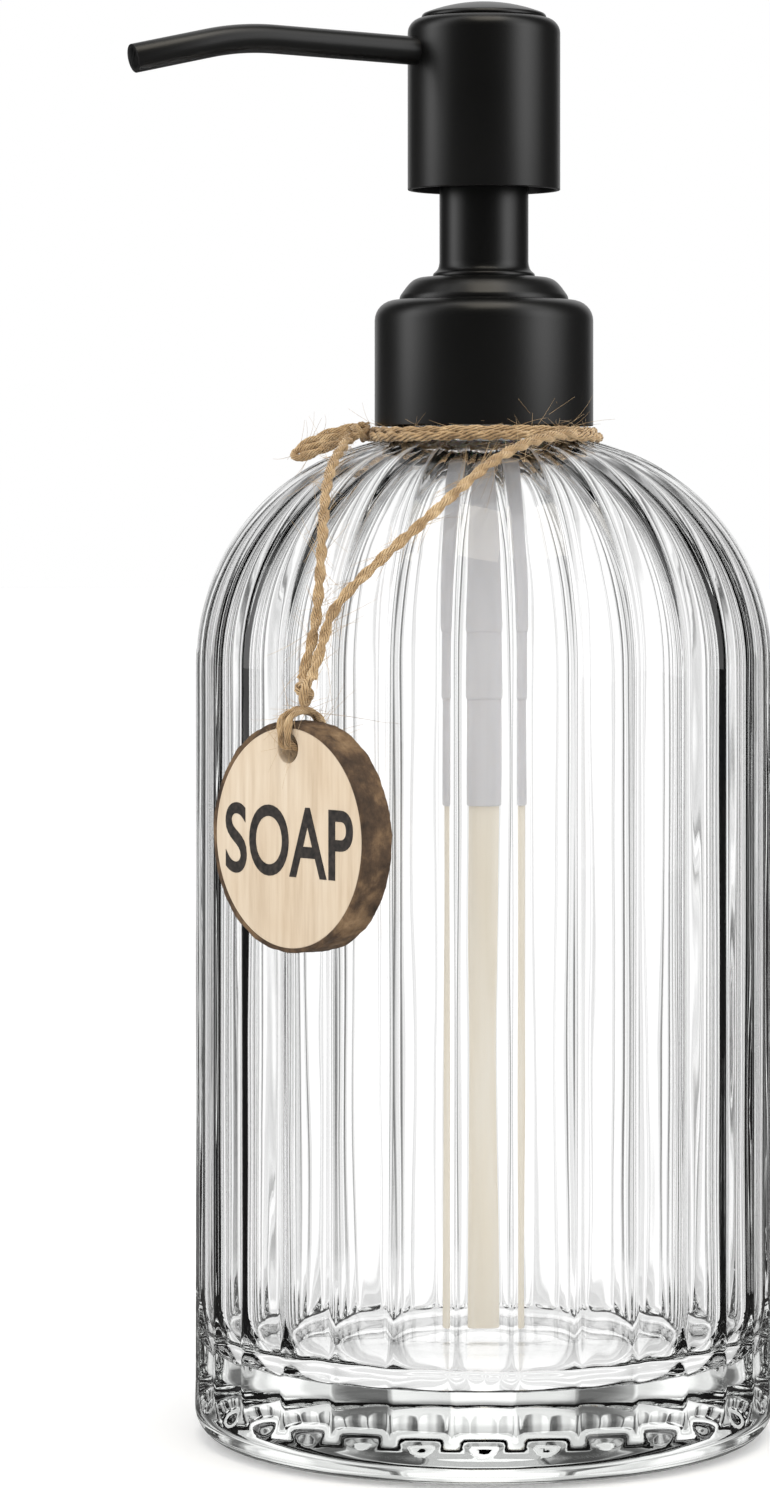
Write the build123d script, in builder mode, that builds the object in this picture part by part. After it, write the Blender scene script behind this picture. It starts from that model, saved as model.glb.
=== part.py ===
"""Refillable soap pump dispenser: a fluted glass bottle, a screw-on lotion pump with metal dress parts,
and a wooden tag that hangs from the neck on twine. Millimetres, +Z up, origin at the centre of the base."""

import os
from math import acos, atan2, cos, degrees, pi, radians, sin, sqrt, tan

from build123d import *

os.makedirs("parts", exist_ok=True)

# ---- Bottle -------------------------------------------------------------------------------------------
BODY_R = 40.6  # outer radius on the flute ridges
SHOULDER_Z = 108.0  # top of the straight wall
SHOULDER_R = 31.8  # radius of the shoulder's arc in section
SHOULDER_CENTRE_R = BODY_R - SHOULDER_R
HEEL_R = 4.0
WALL = 3.2
FLOOR_Z = 11.5
FLOOR_CORNER_R = 4.5
PUSH_UP_R = 33.0  # hollow under the base, inside the ring that the bottle stands on
PUSH_UP_H = 3.0
FLUTES = 30
FLUTE_DEPTH = 0.45
FLUTE_TOOL_R = 18.0
FLUTE_END_Z = 4.7
FLUTE_PHASE_DEG = 4.0
FLUTE_SHOULDER_DEG = 60.0

# ---- Neck finish, 28-400 ------------------------------------------------------------------------------
NECK_R = 12.6
BORE_R = 9.4
THREAD_R = 13.7
PITCH = 4.233
FINISH_TOP_Z = 152.6
NECK_THREAD_Z = 144.9
NECK_THREAD_TURNS = 1.4

# ---- Closure ------------------------------------------------------------------------------------------
CAP_R = 15.0
CAP_BORE_R = 14.0
CAP_THREAD_R = 12.95
CAP_THREAD_TURNS = 1.2
CAP_BOTTOM_Z = 141.7
CAP_TOP_Z = 156.2
GASKET_H = 1.0
FLANGE_R = 12.0
FLANGE_H = 1.2
FLANGE_TOP_Z = FINISH_TOP_Z + GASKET_H + FLANGE_H
RUNNING = 0.06  # clearance of parts that slide or turn on each other
COLLAR_R = 15.4
COLLAR_WALL = 0.35
COLLAR_BOTTOM_Z = 141.3
COLLAR_TOP_Z = 159.0
COLLAR_CORNER_R = 2.4  # inside radius of its top edge
COLLAR_HOLE_R = 12.3
DOME_R = 11.9
DOME_FLANGE_R = 12.5
DOME_FLANGE_H = 1.3
DOME_FOOT_Z = 156.3
DOME_TOP_Z = 162.2
DOME_SHOULDER = [(DOME_R, 159.4), (11.65, 159.8), (10.75, 161.2), (10.1, 161.8), (9.0, DOME_TOP_Z)]
SLEEVE_R = 6.27
SLEEVE_BORE_R = 5.6
SLEEVE_FOOT_Z = 156.4
SLEEVE_TOP_Z = 175.5
BEAD_R = 7.2
BEAD_H = 0.7
PRESS = 0.05  # clearance of metal parts that are assembled once

# ---- Pump inside the bottle ---------------------------------------------------------------------------
CHAMBER_R = 4.25
CHAMBER_TOP_R = 4.5
CHAMBER_BORE_R = 3.6
CHAMBER_FLOOR_Z = 114.0
CHAMBER_TAPER_Z = 137.0
CHAMBER_TAPER_TOP_Z = 140.0
CHAMBER_END_R = 4.0
CHAMBER_END_Z = 112.4
CHAMBER_END_H = 1.4
VALVE_R = 3.8
VALVE_BORE_R = 3.0
VALVE_FLOOR_Z = 102.7
VALVE_EDGE = 0.4
SOCKET_R = 3.3
SOCKET_BORE_R = 2.55
SOCKET_BOTTOM_Z = 88.0
SEAT_Z = 101.6
SEAT_PLATE = 1.2
INLET_BORE_R = 0.9
INLET_BALL_R = 1.5
INLET_BALL_ROOM = 1.75  # height above the ball that lets it lift
CAGE_PLATE = 0.9
CAGE_WALL = 0.8
CAGE_HOLES = 4
CAGE_HOLE_R = 0.6
CAGE_HOLE_PITCH_R = 1.3
CAGE_LIP_H = 1.0
DIP_TUBE_R = 2.5
DIP_TUBE_BORE_R = 1.8
DIP_TUBE_BOTTOM_Z = 14.5
DIP_TUBE_TOP_Z = 100.3
PISTON_BOTTOM_Z = 143.1
PISTON_TOP_Z = 147.2
PISTON_LIP_H = 0.8
PISTON_WAIST = 0.5
STEM_R = 2.4
STEM_BORE_R = 1.4
STEM_FOOT_R = 3.5
STEM_FOOT_H = 1.0
STEM_TOP_Z = 192.0
OUTLET_BORE_R = 0.75
OUTLET_BALL_R = 1.15
OUTLET_SEAT_Z = 145.5
OUTLET_BALL_ROOM = 1.4
BALL_STOP_BORE_R = 0.7
BALL_STOP_H = 1.5
BALL_GAP = 0.04
SPRING_WIRE_R = 0.32
SPRING_R = 2.95
SPRING_TURNS = 7
SPRING_GAP = 0.03

# ---- Head and spout -----------------------------------------------------------------------------------
HEAD_R = 10.75
HEAD_WALL = 0.6
HEAD_RIM_Z = 174.5
HEAD_TOP_Z = 198.7
HEAD_HOLE_R = 7.6
HEAD_SHOULDER = [(HEAD_R, 196.4), (10.3, 197.9), (8.95, HEAD_TOP_Z)]
HEAD_INSIDE = [(8.75, HEAD_TOP_Z - HEAD_WALL), (9.8, 197.4), (HEAD_R - HEAD_WALL, 196.2)]
CORE_BOTTOM_Z = 187.2
CORE_TOP_Z = 196.4
CORE_EDGE = 1.8
CROWN_R = 8.8
CROWN_PLUG_R = 7.5
CROWN_PLUG_H = 1.6
CROWN_EDGE_Z = 199.3
CROWN_TOP_Z = 201.0
SPOUT_R = 2.0
SPOUT_BORE_R = 1.6
SPOUT_ROOT = (-6.0, 193.55)  # x and z of the spout's axis where it starts in the core
SPOUT_KNEE = (-37.1, 194.57)
SPOUT_TIP = (-53.0, 190.9)
SPOUT_BEND_R = 38.0

# ---- Tag and twine ------------------------------------------------------------------------------------
TWINE_R = 0.8
NECK_TWINE_R = 14.6
NECK_TWINE_Z = 140.2
TAG_FACING_DEG = -162.5  # direction of the tag's face round the bottle
TAG_BACK = 41.5  # distance of its back face from the bottle's axis
TAG_THICKNESS = 5.0
TAG_ASIDE = 11.3  # how far its centre lies off that direction
TAG_Z = 86.2
TAG_R = 15.5
BARK = 0.9
TAG_HOLE_R = 2.0
TAG_HOLE_UP = 11.9
TAG_LOOP_R = 0.7
KNOT_R = 1.55
KNOT_OUT = 43.6
KNOT_Z = 105.3
# The routes of the two strands that lie over the shoulder, from the neck down to the tag's knot.
LEFT_STRAND = [
    (-19.4, 2.8, 139.6),
    (-25.0, -4.4, 137.0),
    (-29.2, -10.8, 132.6),
    (-32.2, -16.6, 127.0),
    (-34.5, -20.6, 119.6),
    (-35.9, -22.2, 112.6),
    (-38.1, -22.9, 107.3),
]
RIGHT_STRAND = [
    (6.7, -15.1, 140.1),
    (0.4, -19.0, 139.8),
    (-8.8, -23.6, 137.2),
    (-15.6, -26.4, 133.2),
    (-22.0, -27.8, 128.4),
    (-29.0, -26.6, 122.5),
    (-34.2, -23.8, 116.4),
    (-35.6, -24.0, 111.6),
    (-37.5, -24.8, 107.3),
]
LOOSE_END = [(-18.8, 5.2, 140.2), (-21.6, 7.4, 139.3), (-24.4, 8.4, 137.3)]
NECK_KNOT = (-17.2, 4.0, 140.6)
NECK_KNOT_R = 1.9


def save(piece, label):
    """Labels a finished piece and writes it as its own node."""
    piece.part.label = label
    export_step(piece.part, f"parts/{label}.step")
    print(f"{label:18s} volume {piece.part.volume:10.2f} mm3")


def ring(inner, outer, bottom, top):
    """A plain tube round the Z axis, for a sub-part that starts as one."""
    with BuildPart() as tube:
        with BuildSketch(Plane.XY.offset(bottom)):
            Circle(outer)
            Circle(inner, mode=Mode.SUBTRACT)
        extrude(amount=top - bottom)
    return tube.part


def shoulder_point(radius_of_arc, angle):
    """Point on an arc of the shoulder, as (r, z), with the angle measured up from the horizontal."""
    return (
        SHOULDER_CENTRE_R + radius_of_arc * cos(radians(angle)),
        SHOULDER_Z + radius_of_arc * sin(radians(angle)),
    )


def meets_radius(radius_of_arc, r):
    """Angle at which an arc of the shoulder comes in to the distance r from the bottle's axis."""
    return degrees(acos((r - SHOULDER_CENTRE_R) / radius_of_arc))


# ---- Glass bottle -------------------------------------------------------------------------------------
flute_path_r = BODY_R + FLUTE_TOOL_R - FLUTE_DEPTH
flute_start_z = FLUTE_END_Z + sqrt(FLUTE_TOOL_R**2 - (FLUTE_TOOL_R - FLUTE_DEPTH) ** 2)
with BuildPart() as flute_tool:
    with BuildSketch(Plane.XY.offset(flute_start_z)):
        with Locations((flute_path_r, 0)):
            Circle(FLUTE_TOOL_R)
    extrude(amount=SHOULDER_Z - flute_start_z)
    with BuildSketch(Plane.XY.offset(SHOULDER_Z)):
        with Locations((flute_path_r, 0)):
            Circle(FLUTE_TOOL_R)
    revolve(
        axis=Axis((SHOULDER_CENTRE_R, 0, SHOULDER_Z), (0, -1, 0)),
        revolution_arc=FLUTE_SHOULDER_DEG,
    )
    with Locations((flute_path_r, 0, flute_start_z)):
        Sphere(FLUTE_TOOL_R)

with BuildPart() as neck_thread:
    with BuildLine() as thread_path:
        Helix(PITCH, NECK_THREAD_TURNS * PITCH, NECK_R, center=(0, 0, NECK_THREAD_Z))
    start = Plane(origin=thread_path.line @ 0, x_dir=(1, 0, 0), z_dir=thread_path.line % 0)
    with BuildSketch(start):
        with BuildLine():
            Polyline(
                (-0.3, -1.2), (THREAD_R - NECK_R, -0.5), (THREAD_R - NECK_R, 0.5), (-0.3, 1.2), close=True
            )
        make_face()
    sweep(path=thread_path.line, is_frenet=True)

inner_arc = SHOULDER_R - WALL
with BuildPart() as bottle:
    with BuildSketch(Plane.XZ):
        with BuildLine():
            outer_top = shoulder_point(SHOULDER_R, meets_radius(SHOULDER_R, NECK_R))
            inner_top = shoulder_point(inner_arc, meets_radius(inner_arc, BORE_R))
            inner_wall_r = BODY_R - WALL
            Polyline(
                (0, FLOOR_Z), (0, PUSH_UP_H), (PUSH_UP_R - 3 * PUSH_UP_H, PUSH_UP_H), (PUSH_UP_R, 0),
                (BODY_R - HEEL_R, 0),
            )
            CenterArc((BODY_R - HEEL_R, HEEL_R), HEEL_R, -90, 90)
            Line((BODY_R, HEEL_R), (BODY_R, SHOULDER_Z))
            CenterArc((SHOULDER_CENTRE_R, SHOULDER_Z), SHOULDER_R, 0, meets_radius(SHOULDER_R, NECK_R))
            Polyline(outer_top, (NECK_R, FINISH_TOP_Z), (BORE_R, FINISH_TOP_Z), inner_top)
            CenterArc((SHOULDER_CENTRE_R, SHOULDER_Z), inner_arc, 0, meets_radius(inner_arc, BORE_R))
            Line((inner_wall_r, SHOULDER_Z), (inner_wall_r, FLOOR_Z + FLOOR_CORNER_R))
            CenterArc(
                (inner_wall_r - FLOOR_CORNER_R, FLOOR_Z + FLOOR_CORNER_R), FLOOR_CORNER_R, -90, 90
            )
            Line((inner_wall_r - FLOOR_CORNER_R, FLOOR_Z), (0, FLOOR_Z))
        make_face()
    revolve(axis=Axis.Z)
    for flute in range(FLUTES):
        turn = FLUTE_PHASE_DEG + 360 / FLUTES * flute
        add(flute_tool.part.rotate(Axis.Z, turn), mode=Mode.SUBTRACT)
    add(neck_thread.part)
save(bottle, "glass_bottle")

# ---- Closure: threaded cap, metal collar, dome and guide sleeve ---------------------------------------
with BuildPart() as cap_thread:
    with BuildLine() as thread_path:
        Helix(
            PITCH, CAP_THREAD_TURNS * PITCH, CAP_BORE_R, center=(0, 0, NECK_THREAD_Z + PITCH / 2)
        )
    start = Plane(origin=thread_path.line @ 0, x_dir=(1, 0, 0), z_dir=thread_path.line % 0)
    with BuildSketch(start):
        with BuildLine():
            Polyline(
                (0.3, -1.2), (CAP_THREAD_R - CAP_BORE_R, -0.5), (CAP_THREAD_R - CAP_BORE_R, 0.5),
                (0.3, 1.2), close=True,
            )
        make_face()
    sweep(path=thread_path.line, is_frenet=True)

plate_bottom_z = FLANGE_TOP_Z + RUNNING
with BuildPart() as screw_cap:
    add(ring(CAP_BORE_R, CAP_R, CAP_BOTTOM_Z, CAP_TOP_Z))
    add(ring(SLEEVE_R + 0.3, CAP_R, plate_bottom_z, CAP_TOP_Z))
    add(cap_thread.part)
save(screw_cap, "screw_cap")

with BuildPart() as collar:
    with BuildSketch(Plane.XZ):
        with BuildLine():
            skin_r = COLLAR_R - COLLAR_WALL
            under_z = COLLAR_TOP_Z - COLLAR_WALL
            bend_r, bend_z = skin_r - COLLAR_CORNER_R, under_z - COLLAR_CORNER_R
            Polyline((COLLAR_HOLE_R, COLLAR_TOP_Z), (COLLAR_HOLE_R, under_z), (bend_r, under_z))
            CenterArc((bend_r, bend_z), COLLAR_CORNER_R, 90, -90)
            Polyline(
                (skin_r, bend_z), (skin_r, COLLAR_BOTTOM_Z), (COLLAR_R, COLLAR_BOTTOM_Z), (COLLAR_R, bend_z)
            )
            CenterArc((bend_r, bend_z), COLLAR_CORNER_R + COLLAR_WALL, 0, 90)
            Line((bend_r, COLLAR_TOP_Z), (COLLAR_HOLE_R, COLLAR_TOP_Z))
        make_face()
    revolve(axis=Axis.Z)
save(collar, "collar_shell")

with BuildPart() as dome:
    with BuildSketch(Plane.XZ):
        with BuildLine():
            Polyline(
                (SLEEVE_R + PRESS, DOME_FOOT_Z), (DOME_FLANGE_R, DOME_FOOT_Z),
                (DOME_FLANGE_R, DOME_FOOT_Z + DOME_FLANGE_H), (DOME_R, DOME_FOOT_Z + DOME_FLANGE_H),
                *DOME_SHOULDER, (SLEEVE_R + PRESS, DOME_TOP_Z), close=True,
            )
        make_face()
    revolve(axis=Axis.Z)
save(dome, "collar_dome")

with BuildPart() as sleeve:
    add(ring(SLEEVE_BORE_R, SLEEVE_R, SLEEVE_FOOT_Z, SLEEVE_TOP_Z))
    add(ring(SLEEVE_BORE_R, BEAD_R, DOME_TOP_Z + 0.02, DOME_TOP_Z + BEAD_H))
    bead = sleeve.edges().filter_by(GeomType.CIRCLE).filter_by(lambda e: abs(e.radius - BEAD_R) < 0.01)
    fillet(bead, 0.3)
    lip = sleeve.edges().filter_by(GeomType.CIRCLE).group_by(Axis.Z)[-1]
    fillet(lip, 0.25)
save(sleeve, "guide_sleeve")

# ---- Pump body ----------------------------------------------------------------------------------------
with BuildPart() as gasket:
    add(ring(CHAMBER_TOP_R + 0.1, NECK_R, FINISH_TOP_Z, FINISH_TOP_Z + GASKET_H))
save(gasket, "neck_gasket")

with BuildPart() as housing:
    with BuildSketch(Plane.XZ):
        with BuildLine():
            Polyline(
                (CHAMBER_BORE_R, FLANGE_TOP_Z), (FLANGE_R, FLANGE_TOP_Z),
                (FLANGE_R, FLANGE_TOP_Z - FLANGE_H), (CHAMBER_TOP_R, FLANGE_TOP_Z - FLANGE_H),
                (CHAMBER_TOP_R, CHAMBER_TAPER_TOP_Z), (CHAMBER_R, CHAMBER_TAPER_Z),
                (CHAMBER_R, CHAMBER_END_Z + CHAMBER_END_H), (CHAMBER_END_R, CHAMBER_END_Z),
                (VALVE_R, CHAMBER_END_Z), (VALVE_R, VALVE_FLOOR_Z + VALVE_EDGE),
                (VALVE_R - VALVE_EDGE, VALVE_FLOOR_Z), (SOCKET_R, VALVE_FLOOR_Z),
                (SOCKET_R, SOCKET_BOTTOM_Z), (SOCKET_BORE_R, SOCKET_BOTTOM_Z),
                (SOCKET_BORE_R, SEAT_Z - SEAT_PLATE), (INLET_BORE_R, SEAT_Z - SEAT_PLATE),
                (INLET_BORE_R, SEAT_Z),
                (VALVE_BORE_R, SEAT_Z + VALVE_BORE_R - INLET_BORE_R), (VALVE_BORE_R, CHAMBER_FLOOR_Z),
                (CHAMBER_BORE_R, CHAMBER_FLOOR_Z), close=True,
            )
        make_face()
    revolve(axis=Axis.Z)
save(housing, "pump_housing")

with BuildPart() as dip_tube:
    add(ring(DIP_TUBE_BORE_R, DIP_TUBE_R, DIP_TUBE_BOTTOM_Z, DIP_TUBE_TOP_Z))
save(dip_tube, "dip_tube")

inlet_ball_z = SEAT_Z - INLET_BORE_R + (INLET_BALL_R + BALL_GAP) * sqrt(2)
with BuildPart() as inlet_ball:
    with Locations((0, 0, inlet_ball_z)):
        Sphere(INLET_BALL_R)
save(inlet_ball, "inlet_ball")

cage_floor_z = inlet_ball_z + INLET_BALL_R + INLET_BALL_ROOM
with BuildPart() as cage:
    with BuildSketch(Plane.XY.offset(cage_floor_z)):
        Circle(VALVE_BORE_R - 0.05)
    extrude(amount=CHAMBER_FLOOR_Z - cage_floor_z)
    with BuildSketch(Plane.XY.offset(CHAMBER_FLOOR_Z)):
        Circle(CHAMBER_BORE_R - 0.1)
    extrude(amount=CAGE_LIP_H)
    with BuildSketch(Plane.XY.offset(cage_floor_z + CAGE_PLATE)):
        Circle(VALVE_BORE_R - CAGE_WALL)
    extrude(amount=CHAMBER_FLOOR_Z + CAGE_LIP_H - cage_floor_z, mode=Mode.SUBTRACT)
    with Locations((0, 0, cage_floor_z)):
        with PolarLocations(CAGE_HOLE_PITCH_R, CAGE_HOLES):
            Cylinder(CAGE_HOLE_R, 4 * CAGE_PLATE, mode=Mode.SUBTRACT)
save(cage, "ball_cage")

stem_foot_z = PISTON_BOTTOM_Z - RUNNING
spring_bottom_z = CHAMBER_FLOOR_Z + CAGE_LIP_H + SPRING_GAP + SPRING_WIRE_R
spring_top_z = stem_foot_z - STEM_FOOT_H - SPRING_GAP - SPRING_WIRE_R
with BuildPart() as spring:
    with BuildLine() as coil:
        spring_height = spring_top_z - spring_bottom_z
        Helix(spring_height / SPRING_TURNS, spring_height, SPRING_R, center=(0, 0, spring_bottom_z))
    with BuildSketch(Plane(origin=coil.line @ 0, x_dir=(1, 0, 0), z_dir=coil.line % 0)):
        Circle(SPRING_WIRE_R)
    sweep(path=coil.line, is_frenet=True)
save(spring, "return_spring")

guide_r = SLEEVE_BORE_R - RUNNING
with BuildPart() as stem_guide:
    add(ring(STEM_R + RUNNING, CHAMBER_BORE_R - 0.02, PISTON_TOP_Z + 0.25, FLANGE_TOP_Z + 1))
    add(ring(STEM_R + RUNNING, guide_r, FLANGE_TOP_Z + 0.02, SLEEVE_TOP_Z - 0.4))
save(stem_guide, "stem_guide")

# ---- Piston -------------------------------------------------------------------------------------------
with BuildPart() as piston:
    add(ring(STEM_R + RUNNING, CHAMBER_BORE_R - PISTON_WAIST, PISTON_BOTTOM_Z, PISTON_TOP_Z))
    for lip_z in (PISTON_BOTTOM_Z, PISTON_TOP_Z - PISTON_LIP_H):
        add(ring(STEM_R + 0.3, CHAMBER_BORE_R - RUNNING, lip_z, lip_z + PISTON_LIP_H))
save(piston, "piston_seal")

# ---- Actuator: stem, head and spout -------------------------------------------------------------------
with BuildPart() as stem:
    with BuildSketch(Plane.XZ):
        with BuildLine():
            Polyline(
                (OUTLET_BORE_R, stem_foot_z - STEM_FOOT_H), (STEM_FOOT_R, stem_foot_z - STEM_FOOT_H),
                (STEM_FOOT_R, stem_foot_z), (STEM_R, stem_foot_z), (STEM_R, STEM_TOP_Z),
                (STEM_BORE_R, STEM_TOP_Z), (STEM_BORE_R, OUTLET_SEAT_Z + STEM_BORE_R - OUTLET_BORE_R),
                (OUTLET_BORE_R, OUTLET_SEAT_Z), close=True,
            )
        make_face()
    revolve(axis=Axis.Z)
save(stem, "piston_stem")

outlet_ball_z = OUTLET_SEAT_Z - OUTLET_BORE_R + (OUTLET_BALL_R + BALL_GAP) * sqrt(2)
with BuildPart() as outlet_ball:
    with Locations((0, 0, outlet_ball_z)):
        Sphere(OUTLET_BALL_R)
save(outlet_ball, "outlet_ball")

stop_z = outlet_ball_z + OUTLET_BALL_R + OUTLET_BALL_ROOM
with BuildPart() as ball_stop:
    add(ring(BALL_STOP_BORE_R, STEM_BORE_R - 0.02, stop_z, stop_z + BALL_STOP_H))
save(ball_stop, "outlet_ball_stop")

spout_slope = atan2(SPOUT_KNEE[1] - SPOUT_ROOT[1], SPOUT_ROOT[0] - SPOUT_KNEE[0])
spout_start = Plane(
    origin=(SPOUT_ROOT[0], 0, SPOUT_ROOT[1]), x_dir=(0, 1, 0), z_dir=(-cos(spout_slope), 0, sin(spout_slope))
)
with BuildPart() as spout:
    with BuildLine() as spout_path:
        FilletPolyline(
            *[(x, 0, z) for x, z in (SPOUT_ROOT, SPOUT_KNEE, SPOUT_TIP)], radius=SPOUT_BEND_R
        )
    with BuildSketch(spout_start):
        Circle(SPOUT_R)
        Circle(SPOUT_BORE_R, mode=Mode.SUBTRACT)
    sweep(path=spout_path.line)
save(spout, "spout_tube")
last_run = spout_path.edges().sort_by(Axis.X)[0]
print("straight end of the spout:", last_run.length, "from", last_run @ 0, "to", last_run @ 1)

with BuildPart() as spout_hole:
    with BuildSketch(spout_start):
        Circle(SPOUT_R + PRESS)
    extrude(amount=2 * HEAD_R)

with BuildPart() as core:
    with BuildSketch(Plane.XY.offset(CORE_BOTTOM_Z)):
        Circle(HEAD_R - HEAD_WALL - 0.1)
    extrude(amount=CORE_TOP_Z - CORE_BOTTOM_Z)
    top_rim = core.faces().sort_by(Axis.Z)[-1].edges()
    chamfer(top_rim, CORE_EDGE)
    with BuildSketch(Plane.XY.offset(CORE_BOTTOM_Z)):
        Circle(STEM_R + 0.02)
    extrude(amount=STEM_TOP_Z + 0.1 - CORE_BOTTOM_Z, mode=Mode.SUBTRACT)
    with BuildSketch(Plane.XY.offset(STEM_TOP_Z)):
        Circle(SPOUT_BORE_R)
    extrude(amount=SPOUT_ROOT[1] - STEM_TOP_Z, mode=Mode.SUBTRACT)
    add(spout_hole.part, mode=Mode.SUBTRACT)
    with BuildSketch(spout_start):
        Circle(SPOUT_BORE_R)
    extrude(amount=SPOUT_ROOT[0] - 0.5, mode=Mode.SUBTRACT)
save(core, "head_core")

with BuildPart() as head:
    with BuildSketch(Plane.XZ):
        with BuildLine():
            Polyline(
                (HEAD_R, HEAD_RIM_Z), *HEAD_SHOULDER, (HEAD_HOLE_R, HEAD_TOP_Z),
                (HEAD_HOLE_R, HEAD_TOP_Z - HEAD_WALL), *HEAD_INSIDE, (HEAD_R - HEAD_WALL, HEAD_RIM_Z),
                close=True,
            )
        make_face()
    revolve(axis=Axis.Z)
    add(spout_hole.part, mode=Mode.SUBTRACT)
save(head, "head_shell")

with BuildPart() as crown:
    with BuildSketch(Plane.XZ):
        with BuildLine():
            plug_z = HEAD_TOP_Z - CROWN_PLUG_H
            Polyline(
                (0, CROWN_TOP_Z), (0, plug_z), (CROWN_PLUG_R, plug_z), (CROWN_PLUG_R, HEAD_TOP_Z + 0.04),
                (CROWN_R, HEAD_TOP_Z + 0.04), (CROWN_R, CROWN_EDGE_Z),
            )
            rise = CROWN_TOP_Z - CROWN_EDGE_Z
            dome_arc_r = (CROWN_R**2 + rise**2) / (2 * rise)
            ThreePointArc(
                (CROWN_R, CROWN_EDGE_Z),
                (CROWN_R / 2, CROWN_TOP_Z - dome_arc_r + sqrt(dome_arc_r**2 - (CROWN_R / 2) ** 2)),
                (0, CROWN_TOP_Z),
            )
        make_face()
    revolve(axis=Axis.Z)
save(crown, "head_crown")

# ---- Tag ----------------------------------------------------------------------------------------------
facing = Vector(cos(radians(TAG_FACING_DEG)), sin(radians(TAG_FACING_DEG)), 0)
aside = Vector(-facing.Y, facing.X, 0)


def by_tag(out, along, z):
    """A point given by its distance out along the tag's facing, aside of it, and its height."""
    return facing * out + aside * along + Vector(0, 0, z)


tag_back = Plane(origin=by_tag(TAG_BACK, TAG_ASIDE, TAG_Z), x_dir=aside, z_dir=facing)
with BuildPart() as tag:
    with BuildSketch(tag_back):
        Circle(TAG_R - BARK - 0.05)
        with Locations((0, TAG_HOLE_UP)):
            Circle(TAG_HOLE_R, mode=Mode.SUBTRACT)
    extrude(amount=TAG_THICKNESS)
save(tag, "wooden_tag")

with BuildPart() as bark:
    with BuildSketch(tag_back):
        Circle(TAG_R)
        Circle(TAG_R - BARK, mode=Mode.SUBTRACT)
    extrude(amount=TAG_THICKNESS)
save(bark, "tag_bark")

hole_z = TAG_Z + TAG_HOLE_UP
loop_front = TAG_BACK + TAG_THICKNESS + 0.25 + TAG_LOOP_R
loop_back = TAG_BACK - 0.25 - TAG_LOOP_R
loop_top_z = TAG_Z + TAG_R + 0.35 + TAG_LOOP_R
with BuildPart() as tag_loop:
    with BuildLine() as loop_path:
        FilletPolyline(
            by_tag(loop_front, TAG_ASIDE, hole_z), by_tag(loop_front, TAG_ASIDE, loop_top_z),
            by_tag(loop_back, TAG_ASIDE, loop_top_z), by_tag(loop_back, TAG_ASIDE, hole_z),
            radius=1.5, close=True,
        )
    with BuildSketch(Plane(origin=loop_path.line @ 0, z_dir=loop_path.line % 0)):
        Circle(TAG_LOOP_R)
    sweep(path=loop_path.line)
save(tag_loop, "tag_loop")

with BuildPart() as tag_knot:
    with Locations(by_tag(KNOT_OUT, TAG_ASIDE, KNOT_Z)):
        Sphere(KNOT_R)
save(tag_knot, "tag_knot")
print("pivot of the tag:", by_tag(KNOT_OUT, TAG_ASIDE, KNOT_Z), "facing", facing, "aside", aside)

# ---- Twine --------------------------------------------------------------------------------------------
with BuildPart() as neck_twine:
    with BuildSketch(Plane.XZ):
        with Locations((NECK_TWINE_R, NECK_TWINE_Z)):
            Circle(TWINE_R)
    revolve(axis=Axis.Z)
save(neck_twine, "neck_twine")

with BuildPart() as neck_knot:
    with Locations(NECK_KNOT):
        Sphere(NECK_KNOT_R)
save(neck_knot, "neck_knot")


def corner_radii(route):
    """The largest arcs that the runs of a route allow, one at each corner."""
    radii = []
    for before, at, after in zip(route, route[1:], route[2:]):
        arriving = Vector(at) - Vector(before)
        leaving = Vector(after) - Vector(at)
        half_turn = radians(arriving.get_angle(leaving)) / 2
        radii.append(0.45 * min(arriving.length, leaving.length) / tan(half_turn))
    return radii


def strand(route, label):
    """A length of twine along straight runs joined by tangent arcs."""
    radii = corner_radii(route)
    with BuildPart() as twine:
        with BuildLine() as path:
            FilletPolyline(*route, radius=radii)
        with BuildSketch(Plane(origin=path.line @ 0, z_dir=path.line % 0)):
            Circle(TWINE_R)
        sweep(path=path.line)
    save(twine, label)
    length = path.wires()[0].length
    print(f"  length {length:.1f}, volume over section times length", end=" ")
    print(f"{twine.part.volume / (pi * TWINE_R**2 * length):.4f}, radii", [round(r, 1) for r in radii])


strand(LEFT_STRAND, "twine_left")
strand(RIGHT_STRAND, "twine_right")
strand(LOOSE_END, "twine_end")
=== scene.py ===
# %% [markdown]
# # A soap pump dispenser
#
# A clear fluted glass bottle carries a black metal lotion pump, and a slice of birch hangs from its
# neck on jute twine. The engineering model already says where every part is and how it moves. This
# notebook gives each visible part its finished surface and leaves every size as it is.

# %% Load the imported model
import math
import random

import bmesh
import bpy
from mathutils import Matrix, Vector, noise


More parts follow.
